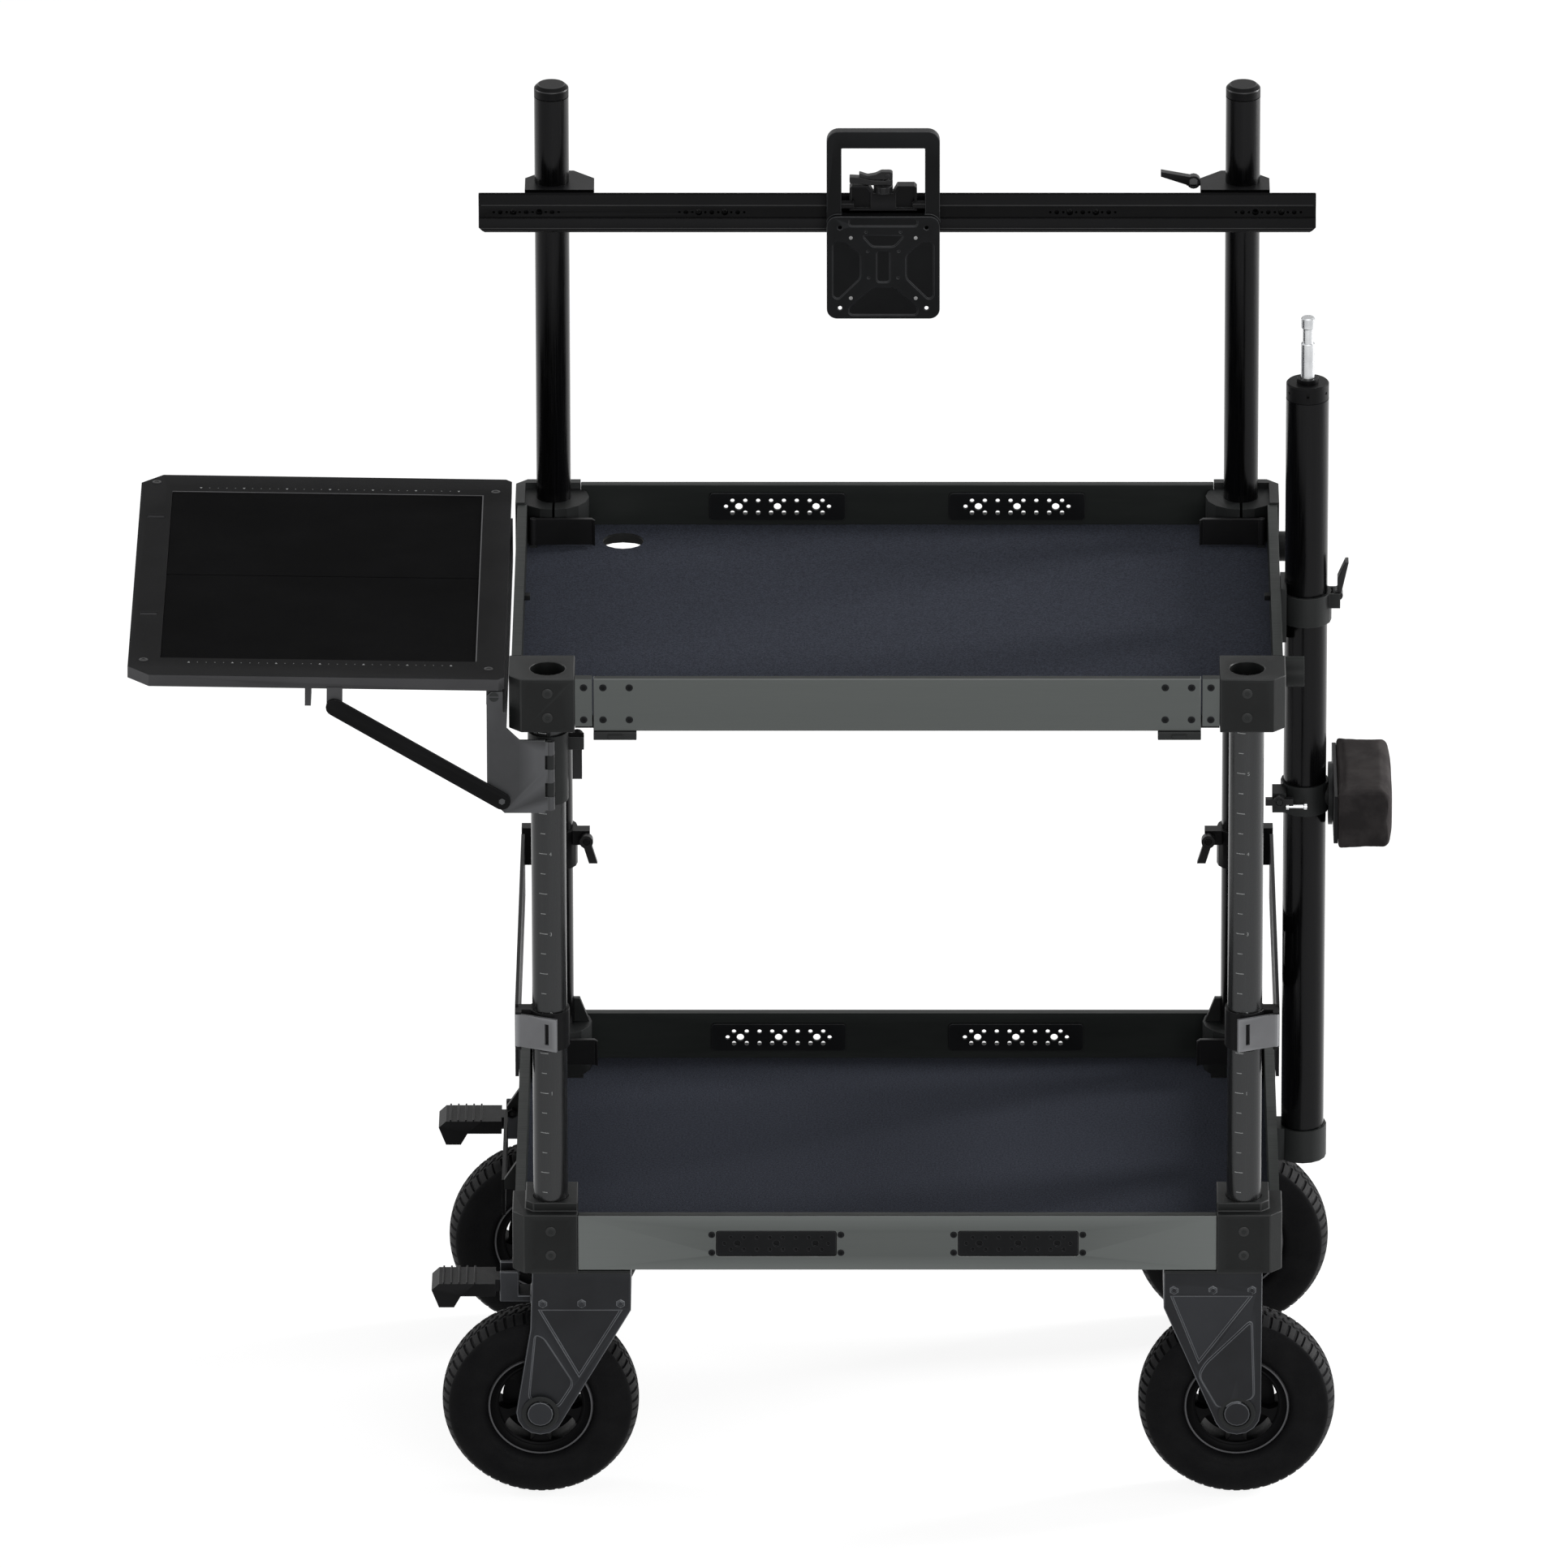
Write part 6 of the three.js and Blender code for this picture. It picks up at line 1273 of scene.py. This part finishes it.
def make_pad():
    low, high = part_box("body_pad")
    bm = bmesh.new()
    add_box(bm, (low.x, low.y + PAD_MARGIN_Y, low.z + PAD_MARGIN_Z),
            (low.x + PAD_BACK * MM, high.y - PAD_MARGIN_Y, high.z - PAD_MARGIN_Z))
    piece_from("pad_backing", bm, "black", "pad", "black", 0.8)
    inner = Vector((low.x + (PAD_BACK + 0.3) * MM, low.y + MM, low.z + MM))
    outer = Vector((high.x - (PAD_CROWN + 1) * MM, high.y - MM, high.z - MM))
    bm = rounded_block(inner, outer, [radius * MM for radius in PAD_RADIUS])
    middle, half = (inner + outer) / 2, (outer - inner) / 2
    for vertex in bm.verts:
        u, v = (vertex.co.y - middle.y) / half.y, (vertex.co.z - middle.z) / half.z
        along = (vertex.co.x - inner.x) / (2 * half.x)
        vertex.co.x += along * PAD_CROWN * MM * max(0, 1 - u ** 4) * max(0, 1 - v ** 4)
    pad = piece_from("body_pad_cushion", bm, "suede", "pad")
    pad.modifiers.clear()
    inflate(pad, low, high)
    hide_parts("body_pad")


def inflate(pad, low, high):
    """Eases the firm cushion with cloth pressure and keeps it within its own space."""
    start = [vertex.co.copy() for vertex in pad.data.vertices]
    cloth = pad.modifiers.new("cloth", "CLOTH")
    cloth.settings.use_pressure = True
    cloth.settings.uniform_pressure_force = PAD_PRESSURE
    cloth.settings.effector_weights.gravity = 0
    scene = bpy.context.scene
    for number in range(1, PAD_FRAMES + 1):
        scene.frame_set(number)
    settle(pad)
    pad.modifiers.clear()
    scene.frame_set(1)
    for vertex, origin in zip(pad.data.vertices, start):
        move = vertex.co - origin
        if move.length > PAD_MOVE * MM:
            move *= PAD_MOVE * MM / move.length
        vertex.co = origin + move
        for axis in range(3):
            vertex.co[axis] = min(max(vertex.co[axis], low[axis]), high[axis])
        vertex.co.x = max(vertex.co.x, low.x + (PAD_BACK + 0.1) * MM)
    calm = pad.modifiers.new("calm", "SMOOTH")
    calm.factor = 0.4
    calm.iterations = 3
    settle(pad)


# Pieces that need rounded edges only, in millimetres; the paired ones stand on both sides
PLAIN_SKINS = {
    "crossbar_lever": 2.2, "tablet_post_clamp": 1, "tablet_clamp_lever": 2, "tablet_strut": 0.7,
    "mast_bracket": 1.2, "mast_lever": 1.8, "pad_clamp": 1.4, "pad_lever": 1.8, "side_flap": 0.8,
    "brake_pedal_front_left": 2, "brake_pedal_back_left": 2,
}
PAIRED_SKINS = {
    "lower_flip_lever": 1.5, "upper_flip_lever": 1.5, "side_plate": 0.8, "collar_lever": 1.8,
}


def make_plain():
    for node, bevel in PLAIN_SKINS.items():
        skin(node, bevel=bevel)
    for side in SIDES:
        for node, bevel in PAIRED_SKINS.items():
            skin(f"{node}_{side}", bevel=bevel)
        skin("front_latch_" + side, "latch", bevel=0.6)


make_casters()
make_crossbar()
make_head()
make_tablet()
make_mast()
make_pad()
make_plain()


# Floor, world and lights

FLOOR_SIZE = 40
FLOOR_WHITE = 0.86
FLOOR_MATTE = 0.34
FLOOR_DIM = 0.3
WORLD_FILL = 0.2
LIGHTS_AIM = Vector((0, 0, 0.4))
# Place, size and power
LIGHTS = {
    "front": ((1.2, -6.3, 2), (4, 2.6), 160),
    "right": ((5.4, 1.8, 1.4), (1.4, 4), 420),
    "left": ((-5.4, 1.2, 1.4), (1, 4), 110),
    "top": ((0.5, -0.5, 5.5), (4, 4), 50),
}


def background_rays(tree):
    """One for rays that see the white background: from the camera, a gloss or a clear surface."""
    path = add_node(tree, "ShaderNodeLightPath").outputs
    seen = path["Is Camera Ray"]
    for kind in ("Is Glossy Ray", "Is Transmission Ray"):
        either = add_node(tree, "ShaderNodeMath", {0: seen, 1: path[kind]}, operation="MAXIMUM")
        seen = either.outputs[0]
    return seen


def grey(value):
    return {"Color": (value, value, value, 1)}


def make_floor():
    """White for the camera; other rays see a dimmer floor."""
    bm = bmesh.new()
    bmesh.ops.create_grid(bm, x_segments=1, y_segments=1, size=FLOOR_SIZE)
    bmesh.ops.translate(bm, vec=(0, 0, floor_z), verts=bm.verts)
    floor = placed("floor", mesh_of("floor", bm))
    material, tree = new_tree("floor")
    white = add_node(tree, "ShaderNodeEmission", {**grey(1), "Strength": FLOOR_WHITE})
    matte = add_node(tree, "ShaderNodeBsdfDiffuse", grey(FLOOR_MATTE))
    dim = add_node(tree, "ShaderNodeBsdfDiffuse", grey(FLOOR_DIM))
    both = add_node(tree, "ShaderNodeAddShader", {0: white.outputs[0], 1: matte.outputs[0]})
    mix = add_node(tree, "ShaderNodeMixShader",
                   {0: background_rays(tree), 1: dim.outputs[0], 2: both.outputs[0]})
    add_node(tree, "ShaderNodeOutputMaterial", {"Surface": mix.outputs[0]})
    floor.data.materials.append(material)


def make_world():
    """A white background that lights the cart only dimly."""
    world = bpy.data.worlds.new("studio")
    world.use_nodes = True
    tree = world.node_tree
    tree.nodes.clear()
    fill = add_node(tree, "ShaderNodeBackground", {**grey(1), "Strength": WORLD_FILL})
    white = add_node(tree, "ShaderNodeBackground", {**grey(1), "Strength": 1})
    mix = add_node(tree, "ShaderNodeMixShader",
                   {0: background_rays(tree), 1: fill.outputs[0], 2: white.outputs[0]})
    add_node(tree, "ShaderNodeOutputWorld", {"Surface": mix.outputs[0]})
    bpy.context.scene.world = world


def soft_light(name, place, size, power):
    data = bpy.data.lights.new(name, "AREA")
    data.shape = "RECTANGLE"
    data.size, data.size_y = size
    data.energy = power
    light = placed(name, data)
    light.location = place
    light.rotation_euler = (LIGHTS_AIM - light.location).to_track_quat("-Z", "Y").to_euler()


make_floor()
make_world()
for light_name, settings in LIGHTS.items():
    soft_light(light_name, *settings)
bpy.context.scene.view_settings.view_transform = "Standard"
